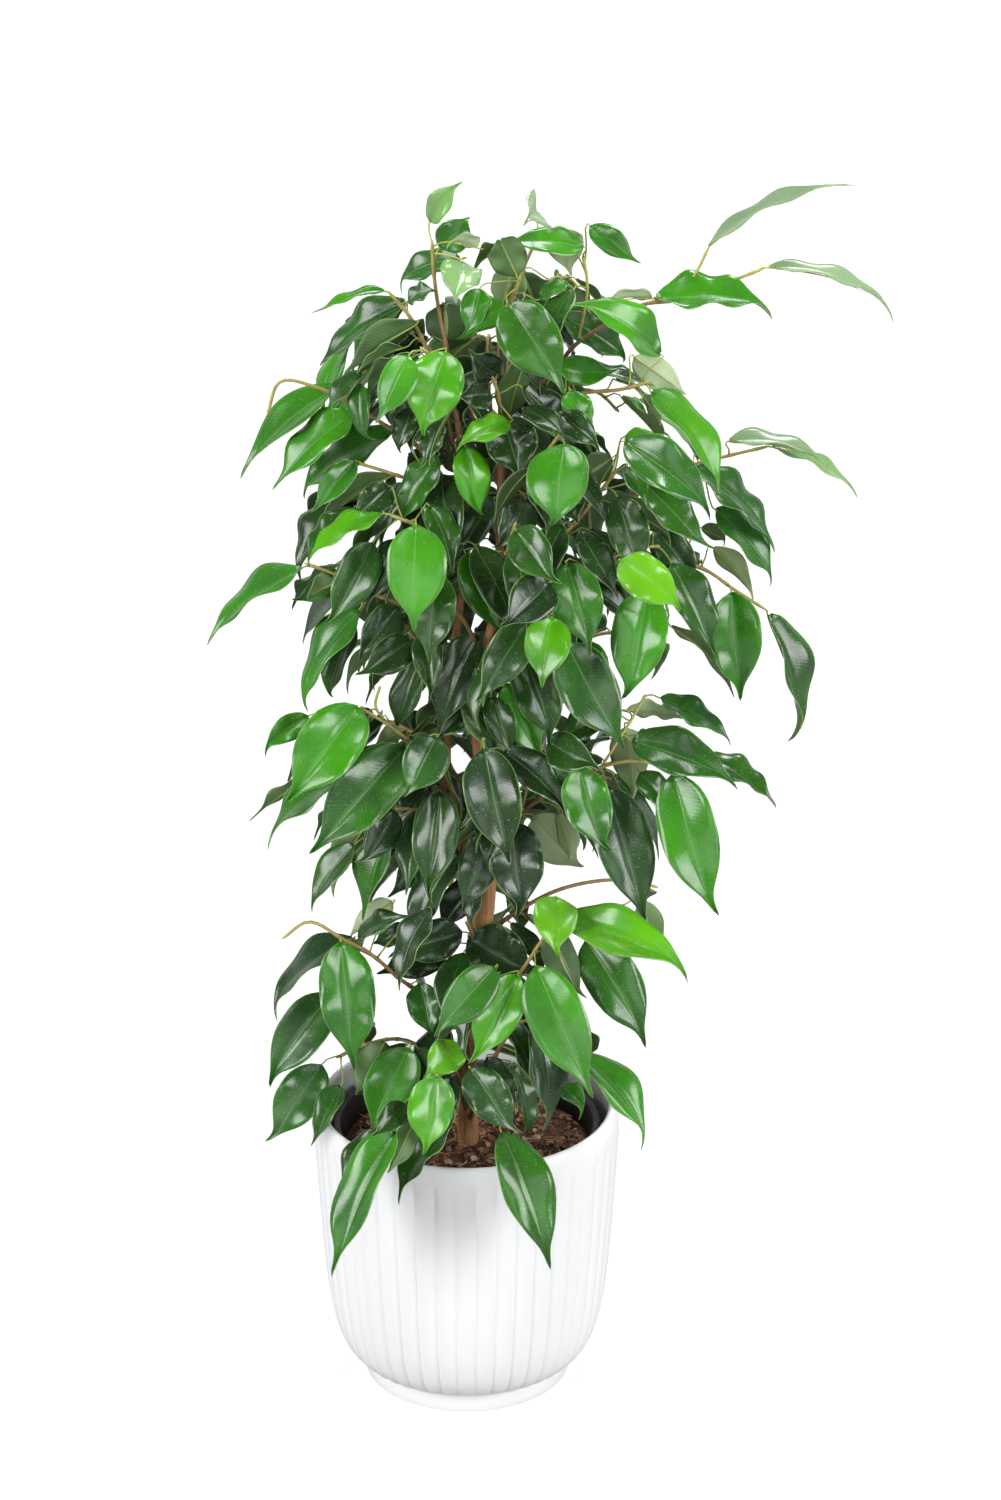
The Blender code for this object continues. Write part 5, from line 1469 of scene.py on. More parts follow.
class ShaderSheet(NodeSheet):
    """A material's nodes."""

    def __init__(self, name: str, roughness: float, colour: Colour = (0.5, 0.5, 0.5)) -> None:
        """Start a material.

        Args:
            name: Its name.
            roughness: The roughness of its surface.
            colour: Its plain colour, where no node gives one.
        """
        self.material = bpy.data.materials.new(name)
        self.material.use_nodes = True
        super().__init__(self.material.node_tree)
        self.shader = self.tree.nodes["Principled BSDF"]
        self.shader.inputs["Roughness"].default_value = roughness
        self.shader.inputs["Base Color"].default_value = (*colour, 1.0)
        self.material.diffuse_color = (*colour, 1.0)

    def ramp(self, factor: Feed, stops: Sequence[tuple[float, Colour]]) -> Socket:
        """Turn a number into a colour between stops of position and colour.

        Args:
            factor: The number.
            stops: The stops in their order.

        Returns:
            The output.
        """
        made = self.node("ShaderNodeValToRGB", Fac=factor)
        elements = made.color_ramp.elements
        elements[0].position, elements[1].position = stops[0][0], stops[-1][0]
        elements[0].color, elements[1].color = (*stops[0][1], 1.0), (*stops[-1][1], 1.0)
        for position, colour in stops[1:-1]:
            elements.new(position).color = (*colour, 1.0)
        return made.outputs["Color"]

    def blend(self, factor: Feed, first: Feed, second: Feed, mode: str = "MIX") -> Socket:
        """Blend two colours.

        Args:
            factor: How far it goes from the first to the second.
            first: The first colour.
            second: The second colour.
            mode: How the second is laid over the first.

        Returns:
            The output.
        """
        made = self.tree.nodes.new("ShaderNodeMix")
        made.data_type = "RGBA"
        made.blend_type = mode
        self.feed(made.inputs[0], factor)
        self.feed(made.inputs[6], first)
        self.feed(made.inputs[7], second)
        return made.outputs[2]

    def place(self, stretch: tuple[float, float, float] = (1.0, 1.0, 1.0)) -> Socket:
        """Give the place on the piece, stretched along its axes."""
        source = self.tree.nodes.new("ShaderNodeTexCoord").outputs["Object"]
        return self.node("ShaderNodeMapping", Vector=source, Scale=stretch).outputs["Vector"]

    def noise(self, scale: float, detail: float = 2.0, vector: Optional[Feed] = None) -> Socket:
        """Give cloudy noise from 0 to 1 over the piece."""
        vector = vector or self.place()
        return self.node("ShaderNodeTexNoise", Scale=scale, Detail=detail, Vector=vector).outputs["Fac"]

    def dots(self, scale: float, vector: Optional[Feed] = None) -> Socket:
        """Give the distance from scattered points over the piece."""
        made = self.node("ShaderNodeTexVoronoi", Scale=scale, Vector=vector or self.place())
        return made.outputs["Distance"]

    def attribute(self, name: str) -> Socket:
        """Read a number that the mesh carries.

        Args:
            name: The number's name.

        Returns:
            The output.
        """
        made = self.tree.nodes.new("ShaderNodeAttribute")
        made.attribute_name = name
        return made.outputs["Fac"]

    def leaf_axes(self) -> tuple[Socket, Socket]:
        """Give the share along a leaf and the share across it, from 0 at its midrib to 1 at its edge.

        Returns:
            The two outputs.
        """
        made = self.tree.nodes.new("ShaderNodeUVMap")
        made.uv_map = LEAF_MAP
        split = self.node("ShaderNodeSeparateXYZ", Vector=made.outputs["UV"])
        doubled = self.math("MULTIPLY_ADD", split.outputs["X"], 2.0)
        doubled.node.inputs[2].default_value = -1.0
        return split.outputs["Y"], self.math("ABSOLUTE", doubled)

    def clouded_tone(self, clouds: Socket, low: float, high: float) -> Socket:
        """Give the tone that the mesh carries, changed by clouds from low to high."""
        return self.math("ADD", self.attribute(TONE), self.spread(clouds, 0.3, 0.7, low, high))

    def veins(self, count: float, slant: float, start: float) -> tuple[Socket, Socket, Socket]:
        """Draw fine veins that slant away from a leaf's midrib.

        Args:
            count: How many run off each side of the midrib.
            slant: How far they run on along the leaf before they reach its edge, in veins.
            start: Where a vein starts on the ripple between two, which peaks at 0.5.

        Returns:
            The ripple, the veins and the share across the leaf.
        """
        along, across = self.leaf_axes()
        slanted = self.math("MULTIPLY", across, slant)
        phase = self.math("SUBTRACT", self.math("MULTIPLY", along, count), slanted)
        ripple = self.math("ABSOLUTE", self.math("SUBTRACT", self.math("FRACT", phase), 0.5))
        return ripple, self.spread(ripple, start, 0.5, 0.0, 1.0), across

    def colour(self, feed: Feed) -> None:
        """Give the surface its colour."""
        self.feed(self.shader.inputs["Base Color"], feed)

    def gloss(self, feed: Feed) -> None:
        """Give the surface a roughness that changes over it."""
        self.feed(self.shader.inputs["Roughness"], feed)

    def bump(self, height: Feed, distance: float, strength: float = 1.0) -> None:
        """Give the surface a fine relief."""
        made = self.node("ShaderNodeBump", Height=height, Distance=distance, Strength=strength)
        self.tree.links.new(made.outputs["Normal"], self.shader.inputs["Normal"])


LEAF_MAP = "leaf"
TONE = "tone"


@dataclass(frozen=True)
class LeafUpperFinish:
    """The glossy upper side: green by age, with a pale midrib, fine slanting veins and pale specks, and a
    pale grey-green painted sheen where the tone runs above 1.
    """

    name: str = "leaf_upper"
    roughness: float = 0.22
    veins: float = 34.0
    slant: float = 4.5
    # The last stop is a pale grey-green painted sheen, the glint of the bright backdrop on a leaf seen at a
    # glancing angle; only tones above 1 blend towards it.
    ages: Stops = (
        (0.0, (0.0070, 0.018, 0.007)), (0.20, (0.0200, 0.072, 0.008)), (0.36, (0.0310, 0.190, 0.005)),
        (0.52, (0.055, 0.320, 0.003)), (0.80, (0.165, 0.530, 0.002)), (1.0, (0.250, 0.370, 0.200)),
    )
    dull: Colour = (0.030, 0.070, 0.036)
    pale: Colour = (0.18, 0.36, 0.11)
    speck: Colour = (0.22, 0.42, 0.16)

    def material(self) -> Material:
        """Make the material.

        Returns:
            The material.
        """
        sheet = ShaderSheet(self.name, self.roughness, (0.011, 0.125, 0.012))
        sheet.shader.inputs["Specular IOR Level"].default_value = 0.55
        tone = sheet.clouded_tone(sheet.noise(38.0, 3.0), -0.08, 0.06)
        # The tone is scaled so that tones above 1 run into the painted sheen at the ramp's end.
        green = sheet.ramp(sheet.math("MULTIPLY", tone, 0.8), self.ages)
        green = sheet.blend(sheet.spread(sheet.noise(13.0, 1.0), 0.45, 0.7, 0.0, 0.5), green, self.dull)
        ripple, vein, across = sheet.veins(self.veins, self.slant, 0.36)
        midrib = sheet.spread(across, 0.014, 0.04, 1.0, 0.0)
        rim = sheet.spread(across, 0.94, 0.985, 0.0, 0.75)
        specks = sheet.spread(sheet.dots(330.0), 0.09, 0.16, 0.7, 0.0)
        green = sheet.blend(sheet.math("MULTIPLY", vein, 0.15), green, self.pale)
        green = sheet.blend(specks, green, self.speck)
        green = sheet.blend(sheet.math("MULTIPLY", midrib, 0.4), green, self.pale)
        sheet.colour(sheet.blend(rim, green, self.pale))
        grain = sheet.math("MULTIPLY", sheet.noise(900.0, 2.0), 0.3)
        quilt = sheet.math("MULTIPLY", sheet.math("MULTIPLY", ripple, ripple), -0.5)
        swell = sheet.math("ADD", sheet.math("ADD", quilt, sheet.math("MULTIPLY", vein, -0.12)), grain)
        sheet.bump(sheet.math("SUBTRACT", swell, midrib), 0.00013, 0.6)
        wear = sheet.noise(160.0, 2.0)
        sheet.gloss(sheet.spread(wear, 0.3, 0.7, self.roughness - 0.03, self.roughness + 0.08))
        return sheet.material


@dataclass(frozen=True)
class LeafUnderFinish:
    """The dull grey-green underside, with a raised pale midrib and faint veins; its palest tones add a
    painted glow of light through the leaf.
    """

    name: str = "leaf_underside"
    roughness: float = 0.5
    veins: float = 24.0
    slant: float = 3.2
    # The upper stops are paler than the underside's own grey-green: partly its colour and partly painted
    # light, the glow of light shining through the leaf and up from the floor.
    ages: Stops = (
        (0.0, (0.045, 0.095, 0.030)), (0.4, (0.090, 0.190, 0.050)), (0.7, (0.310, 0.430, 0.200)),
        (1.0, (0.540, 0.650, 0.420)),
    )
    pale: Colour = (0.46, 0.54, 0.30)

    def material(self) -> Material:
        """Make the material.

        Returns:
            The material.
        """
        sheet = ShaderSheet(self.name, self.roughness, (0.110, 0.200, 0.075))
        green = sheet.ramp(sheet.clouded_tone(sheet.noise(30.0, 2.0), -0.08, 0.08), self.ages)
        _, vein, across = sheet.veins(self.veins, self.slant, 0.40)
        midrib = sheet.spread(across, 0.03, 0.08, 1.0, 0.0)
        green = sheet.blend(sheet.math("MULTIPLY", vein, 0.22), green, self.pale)
        sheet.colour(sheet.blend(sheet.math("MULTIPLY", midrib, 0.7), green, self.pale))
        height = sheet.math("ADD", sheet.math("MULTIPLY", vein, 0.6), sheet.noise(1200.0, 2.0))
        sheet.bump(height, 0.00015, 0.5)
        return sheet.material


@dataclass(frozen=True)
class LeafEdgeFinish:
    """The pale line along a leaf's edge."""

    name: str = "leaf_edge"
    low: Colour = (0.14, 0.30, 0.08)
    high: Colour = (0.38, 0.52, 0.22)

    def material(self) -> Material:
        """Make the material.

        Returns:
            The material.
        """
        sheet = ShaderSheet(self.name, 0.45, self.low)
        sheet.colour(sheet.ramp(sheet.noise(220.0, 2.0), ((0.35, self.low), (0.65, self.high))))
        return sheet.material


@dataclass(frozen=True)
class ShootFinish:
    """Stalks and twigs: brown bark where a twig is old, yellow-green where it is young."""

    name: str
    ages: Stops
    roughness: float = 0.5
    relief: float = 0.0002

    def material(self) -> Material:
        """Make the material.

        Returns:
            The material.
        """
        sheet = ShaderSheet(self.name, self.roughness, self.ages[0][1])
        colour = sheet.ramp(sheet.clouded_tone(sheet.noise(240.0, 3.0), -0.16, 0.16), self.ages)
        specks = sheet.spread(sheet.dots(520.0), 0.12, 0.22, 0.35, 0.0)
        sheet.colour(sheet.blend(specks, colour, (0.42, 0.36, 0.22)))
        sheet.bump(sheet.math("ADD", sheet.noise(700.0, 3.0), specks), self.relief, 0.6)
        return sheet.material


@dataclass(frozen=True)
class BarkFinish:
    """The stems' bark: reddish brown with upright streaks and small pale pores."""

    name: str = "stem_bark"
    shades: Stops = (
        (0.25, (0.160, 0.068, 0.028)), (0.5, (0.460, 0.225, 0.096)), (0.75, (0.700, 0.420, 0.200)),
    )
    pore: Colour = (0.66, 0.50, 0.34)

    def material(self) -> Material:
        """Make the material.

        Returns:
            The material.
        """
        sheet = ShaderSheet(self.name, 0.72, self.shades[1][1])
        streaks = sheet.noise(420.0, 4.0, sheet.place((1.0, 1.0, 0.16)))
        patches = sheet.noise(55.0, 3.0)
        mixed = sheet.math("ADD", sheet.math("MULTIPLY", streaks, 0.6), sheet.math("MULTIPLY", patches, 0.4))
        colour = sheet.ramp(mixed, self.shades)
        pores = sheet.spread(sheet.dots(300.0, sheet.place((1.0, 1.0, 2.2))), 0.10, 0.20, 0.6, 0.0)
        sheet.colour(sheet.blend(pores, colour, self.pore))
        rough = sheet.math("ADD", streaks, sheet.math("MULTIPLY", sheet.noise(1500.0, 3.0), 0.3))
        sheet.bump(sheet.math("ADD", rough, pores), 0.0006, 0.7)
        return sheet.material


@dataclass(frozen=True)
class GlazeFinish:
    """The outer pot's smooth white glaze, barely uneven."""

    name: str = "white_glaze"
    colour: Colour = (0.856, 0.862, 0.872)
    roughness: float = 0.32

    def material(self) -> Material:
        """Make the material.

        Returns:
            The material.
        """
        sheet = ShaderSheet(self.name, self.roughness, self.colour)
        shade = tuple(0.985 * part for part in self.colour)
        sheet.colour(sheet.ramp(sheet.noise(9.0, 2.0), ((0.3, shade), (0.7, self.colour))))
        sheet.gloss(sheet.spread(sheet.noise(20.0, 2.0), 0.3, 0.7, self.roughness, self.roughness + 0.04))
        return sheet.material


@dataclass(frozen=True)
class PlasticFinish:
    """The nursery pot's thin black plastic, dusty and faintly scuffed."""

    name: str = "black_plastic"
    colour: Colour = (0.018, 0.018, 0.020)
    dust: Colour = (0.040, 0.034, 0.030)

    def material(self) -> Material:
        """Make the material.

        Returns:
            The material.
        """
        sheet = ShaderSheet(self.name, 0.5, self.colour)
        sheet.shader.inputs["Specular IOR Level"].default_value = 0.3
        dusty = sheet.spread(sheet.noise(140.0, 5.0), 0.5, 0.75, 0.0, 0.8)
        sheet.colour(sheet.blend(dusty, self.colour, self.dust))
        sheet.gloss(sheet.spread(dusty, 0.0, 0.8, 0.45, 0.7))
        sheet.bump(sheet.noise(600.0, 2.0, sheet.place((1.0, 1.0, 0.2))), 0.0002, 0.3)
        return sheet.material


@dataclass(frozen=True)
class SoilFinish:
    """Coarse brown potting soil: dark crumbs and lighter fibres, each with its own shade."""

    name: str
    shades: Stops = (
        (0.0, (0.040, 0.019, 0.012)), (0.35, (0.260, 0.125, 0.070)), (0.65, (0.560, 0.320, 0.190)),
        (1.0, (0.820, 0.620, 0.430)),
    )

    def material(self) -> Material:
        """Make the material.

        Returns:
            The material.
        """
        sheet = ShaderSheet(self.name, 0.9, self.shades[1][1])
        grain = sheet.noise(650.0, 4.0)
        sheet.colour(sheet.ramp(sheet.clouded_tone(grain, -0.22, 0.22), self.shades))
        sheet.bump(sheet.math("ADD", grain, sheet.noise(1800.0, 3.0)), 0.0009, 0.8)
        return sheet.material


@dataclass(frozen=True)
class FloorFinish:
    """The plain white studio floor, which shows brighter than it lights the plant."""

    name: str = "studio_floor"
    shown: float = 0.80
    lent: float = 0.10

    def material(self) -> Material:
        """Make the material.

        Returns:
            The material.
        """
        sheet = ShaderSheet(self.name, 0.9, (0.22, 0.22, 0.224))
        seen = sheet.node("ShaderNodeLightPath").outputs["Is Camera Ray"]
        sheet.shader.inputs["Emission Color"].default_value = (1.0, 1.0, 1.0, 1.0)
        light = sheet.spread(seen, 0.0, 1.0, self.lent, self.shown)
        sheet.feed(sheet.shader.inputs["Emission Strength"], light)
        return sheet.material


def deselect() -> None:
    """Leave nothing selected."""
    for thing in bpy.context.view_layer.objects:
        thing.select_set(False)
    bpy.context.view_layer.objects.active = None


def activate(*things: Piece) -> None:
    """Select these objects alone, with the first one active.

    Args:
        *things: The objects.
    """
    deselect()
    for thing in things:
        thing.select_set(True)
    bpy.context.view_layer.objects.active = things[0]


def settle(thing: Piece, name: str) -> Piece:
    """Name a new object and put its place into its mesh.

    Args:
        thing: The new object.
        name: Its name.

    Returns:
        The object.
    """
    thing.name = thing.data.name = name
    activate(thing)
    bpy.ops.object.transform_apply(location=True, rotation=True, scale=True)
    return thing


def start_edit(thing: Piece) -> None:
    """Open an object in edit mode, set to pick vertices.

    Args:
        thing: The object.
    """
    activate(thing)
    bpy.ops.object.mode_set(mode="EDIT")
    bpy.ops.mesh.select_mode(type="VERT")


def end_edit() -> None:
    """Go back to object mode."""
    bpy.ops.object.mode_set(mode="OBJECT")


def pick(thing: Piece, test: Callable[[Vector], bool]) -> int:
    """Select the vertices whose place passes a test.

    Args:
        thing: The object in edit mode.
        test: Asks about a place.

    Returns:
        How many were picked.
    """
    bpy.ops.mesh.select_all(action="DESELECT")
    shape = bmesh.from_edit_mesh(thing.data)
    picked = [vertex for vertex in shape.verts if test(vertex.co)]
    for vertex in picked:
        vertex.select_set(True)
    shape.select_flush(True)
    bmesh.update_edit_mesh(thing.data)
    return len(picked)


def places_of(thing: Piece) -> np.ndarray:
    """Read a mesh's vertices as rows of x, y and z.

    Args:
        thing: The object.

    Returns:
        The rows.
    """
    places = np.empty(len(thing.data.vertices) * 3)
    thing.data.vertices.foreach_get("co", places)
    return places.reshape(-1, 3)


def move_to(thing: Piece, places: np.ndarray) -> None:
    """Give a mesh's vertices new places."""
    thing.data.vertices.foreach_set("co", places.ravel())
    thing.data.update()


def give_number(thing: Piece, name: str, values: Union[float, np.ndarray]) -> None:
    """Store a number on each vertex of a mesh."""
    held = thing.data.attributes.get(name) or thing.data.attributes.new(name, "FLOAT", "POINT")
    held.data.foreach_set("value", np.broadcast_to(values, len(thing.data.vertices)).astype(np.float32))


def copy_of(model: Piece, name: str) -> Piece:
    """Copy a modelled shape with its own mesh.

    Args:
        model: The shape.
        name: The copy's name.

    Returns:
        The copy.
    """
    copy = model.copy()
    copy.data = model.data.copy()
    copy.name = name
    bpy.context.collection.objects.link(copy)
    return copy


def join(things: Sequence[Piece], name: str) -> Piece:
    """Make one object of many and name it.

    Args:
        things: The objects, of which the first is kept.
        name: Its name.

    Returns:
        The joined object.
    """
    activate(*things)
    bpy.ops.object.join()
    things[0].name = things[0].data.name = name
    return things[0]


def apply_all(thing: Piece) -> None:
    """Apply an object's modifiers in their order.

    Args:
        thing: The object.
    """
    activate(thing)
    for modifier in list(thing.modifiers):
        bpy.ops.object.modifier_apply(modifier=modifier.name)


def finish_skin(thing: Piece, angle: float = 40.0) -> None:
    """Turn a closed skin's faces outward and smooth it up to an angle.

    Args:
        thing: The object.
        angle: The sharpest turn that is smoothed, in degrees.
    """
    start_edit(thing)
    bpy.ops.mesh.select_all(action="SELECT")
    bpy.ops.mesh.normals_make_consistent(inside=False)
    end_edit()
    bpy.ops.object.shade_smooth_by_angle(angle=math.radians(angle))


def dress(thing: Piece, materials: Sequence[Material], slot: str, *nodes: str) -> None:
    """Give a finished piece its materials and its body, and hide the solids that it stands for.

    Args:
        thing: The piece.
        materials: Its materials, where it holds none yet.
        slot: Not used.
        *nodes: The solids' names.
    """
    if len(thing.data.materials) == 0:
        for material in materials:
            thing.data.materials.append(material)
    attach(thing, "root")
    if nodes:
        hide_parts(*nodes)
    triangles = sum(len(face.vertices) - 2 for face in thing.data.polygons)
    LOG.info("%s: %d triangles", thing.name, triangles)


@dataclass
class Tube:
    """A round length that is modelled once and copied along routes."""

    name: str
    sides: int
    rings: int

    def __post_init__(self) -> None:
        """Model it one unit high and one in radius."""
        deselect()
        bpy.ops.mesh.primitive_circle_add(
            vertices=self.sides, radius=1.0, fill_type="NGON", location=(0.0, 0.0, 0.0),
        )
        self.model = settle(bpy.context.object, self.name)
        start_edit(self.model)
        bpy.ops.mesh.select_all(action="SELECT")
        step = {"value": (0.0, 0.0, 1.0 / self.rings)}
        for _ in range(self.rings):
            bpy.ops.mesh.extrude_region_move(TRANSFORM_OT_translate=step)
        bpy.ops.mesh.select_all(action="SELECT")
        bpy.ops.mesh.normals_make_consistent(inside=False)
        end_edit()
        bpy.ops.object.shade_smooth()
        self.rest = places_of(self.model)

    def lay(self, name: str, route: Route, radii: Sequence[float], tone: Sequence[float]) -> Piece:
        """Copy it along a route.

        Args:
            name: The copy's name.
            route: Places along its middle.
            radii: Radius at each of a few even shares of the route.
            tone: Tone at each of a few even shares of the route.

        Returns:
            The copy.
        """
        middles = walk_route(route, self.rings + 1)
        shares = np.linspace(0.0, 1.0, self.rings + 1)
        thickness = np.interp(shares, np.linspace(0.0, 1.0, len(radii)), radii)
        tones = np.interp(shares, np.linspace(0.0, 1.0, len(tone)), tone)
        level = abs((middles[1] - middles[0]).normalized().y) < 0.8
        across = Vector((float(not level), float(level), 0.0))
        frames = []
        for index, middle in enumerate(middles):
            along = (middles[min(index + 1, self.rings)] - middles[max(index - 1, 0)]).normalized()
            across = (across - along * across.dot(along)).normalized()
            frames.append((*middle, *across, *along.cross(across)))
        frames = np.array(frames)
        ring = np.rint(self.rest[:, 2] * self.rings).astype(int)
        row = frames[ring]
        wide = (self.rest[:, 0] * thickness[ring])[:, None]
        deep = (self.rest[:, 1] * thickness[ring])[:, None]
        copy = copy_of(self.model, name)
        move_to(copy, row[:, 0:3] + row[:, 3:6] * wide + row[:, 6:9] * deep)
        give_number(copy, TONE, tones[ring])
        return copy

    def discard(self) -> None:
        """Delete the model once its copies are made."""
        bpy.data.objects.remove(self.model)


class LeafSide(Enum):
    """The faces of a leaf, by their place among its materials."""

    UPPER = 0
    UNDER = 1
    EDGE = 2
    STALK = 3


@dataclass
class LeafModel:
    """One flat leaf of unit length, modelled once, then copied and bent to each leaf's own form."""

    rows: int = 22
    columns: int = 8
    thickness: float = 0.00042
    bow: float = 0.115
    fold: float = 0.0042
    dome: float = 0.0008
    ripple: float = 0.0027
    twist: float = 0.17
    curl_start: float = 0.74
    quilt: float = 0.00014
    full_width: float = 0.028
    settling: float = 0.45
    outline: Profile = (
        (0.0, 0.06), (0.03, 0.34), (0.08, 0.60), (0.15, 0.83), (0.24, 0.97), (0.35, 1.0), (0.45, 0.99),
        (0.54, 0.92), (0.62, 0.79), (0.69, 0.61), (0.74, 0.45), (0.785, 0.30), (0.83, 0.19), (0.89, 0.11),
        (1.0, 0.03),
    )

    def __post_init__(self) -> None:
        """Model it: a grid whose rows are drawn in to the outline, and whose tip is merged."""
        deselect()
        bpy.ops.mesh.primitive_grid_add(
            x_subdivisions=self.columns, y_subdivisions=self.rows, size=1.0, calc_uvs=True,
            location=(0.0, 0.5, 0.0),
        )
        self.model = settle(bpy.context.object, "leaf_model")
        self.model.data.uv_layers[0].name = LEAF_MAP
        start_edit(self.model)
        for row in range(self.rows + 1):
            share = row / self.rows
            pick(self.model, lambda place, share=share: abs(place.y - share) < 0.2 / self.rows)
            part = float(np.interp(share, *zip(*self.outline)))
            bpy.ops.transform.resize(value=(part, 1.0, 1.0), center_override=(0.0, share, 0.0))
        bpy.ops.mesh.merge(type="CENTER")
        end_edit()
        bpy.ops.object.shade_smooth()
        self.rest = places_of(self.model)
        self.share = self.rest[:, 1]
        self.part = np.interp(self.share, *zip(*self.outline))
        self.side = np.clip(self.rest[:, 0] * 2.0 / self.part, -1.0, 1.0)

    def fold_of(self, blade: Blade) -> float:
        """Give how deep a leaf is folded along its midrib, by where it grows."""
        where = blade.base.x + 1.7 * blade.base.y + 2.3 * blade.base.z
        return self.fold * (1.05 + 0.45 * math.sin(977.0 * where))

    def bend(self, blade: Blade, habit: Sequence[float], ease: float) -> np.ndarray:
        """Bend the flat leaf to a placed one.

        Args:
            blade: The placed leaf.
            habit: Its own small differences, each from -1 to 1.
            ease: How far it leaves its solid's plain form, from 0 to 1.

        Returns:
            The places of its vertices.
        """
        share, side, part = self.share, self.side, self.part
        axis, face = np.array(blade.tip - blade.base), np.array(blade.face)
        length = (blade.tip - blade.base).length
        bow = (DROOP + (self.bow - DROOP) * ease) * length * 4.0
        along = axis + face * (bow * (1.0 - 2.0 * share))[:, None]
        along /= np.linalg.norm(along, axis=1)[:, None]
        across = np.cross(along, face)
        across /= np.linalg.norm(across, axis=1)[:, None]
        upward = np.cross(across, along)
        spine = np.array(blade.base) + axis * share[:, None] + face * (bow * share * (1.0 - share))[:, None]
        size = blade.width / self.full_width
        edge = np.abs(side)
        phase, waves = math.pi * habit[0], 2.1 + 0.8 * habit[1]
        fold = KEEL + (self.fold_of(blade) - KEEL) * ease
        rise = (self.settling * (fold - KEEL) - fold * (1.0 - edge)) * size * np.sqrt(part)
        loose = self.dome * (1.0 - 1.6 * habit[5]) * size * np.sin(math.pi * edge) * part
        wave = np.sin(math.tau * waves * share + phase + 2.3 * (side > 0))
        loose += self.ripple * size * wave * edge ** 2 * part
        loose += self.twist * habit[2] * blade.width * side * part * (share - 0.35)
        curl = np.clip((share - self.curl_start) / (1.0 - self.curl_start), 0.0, 1.0) ** 2
        loose += (0.0055 * habit[3] - 0.0030) * curl
        swell = np.sin(math.tau * 7.0 * share + 5.0 * edge + phase) * np.sin(math.pi * edge)
        rise += loose * ease + self.quilt * size * swell
        slide = (0.0060 * habit[4] * curl + 0.0016 * habit[5] * np.sin(math.pi * share)) * ease
        wide = side * part * (1.0 + 0.08 * habit[6] * side) * 0.5 * blade.width + slide
        return spine + across * wide[:, None] + upward * rise[:, None]

    def place(self, form: np.ndarray, tone: float) -> Piece:
        """Copy the leaf to a form.

        Args:
            form: The places of its vertices.
            tone: The leaf's tone.

        Returns:
            The copy.
        """
        copy = copy_of(self.model, "leaf")
        move_to(copy, form)
        give_number(copy, TONE, tone)
        return copy

    def thicken(self, leaves: Piece) -> None:
        """Give joined leaves their thickness, their underside and their edge.

        Args:
            leaves: The joined leaves.
        """
        solidify = leaves.modifiers.new("thickness", "SOLIDIFY")
        solidify.thickness = self.thickness
        solidify.offset = 0.0
        solidify.material_offset = LeafSide.UNDER.value
        solidify.material_offset_rim = LeafSide.EDGE.value
        apply_all(leaves)


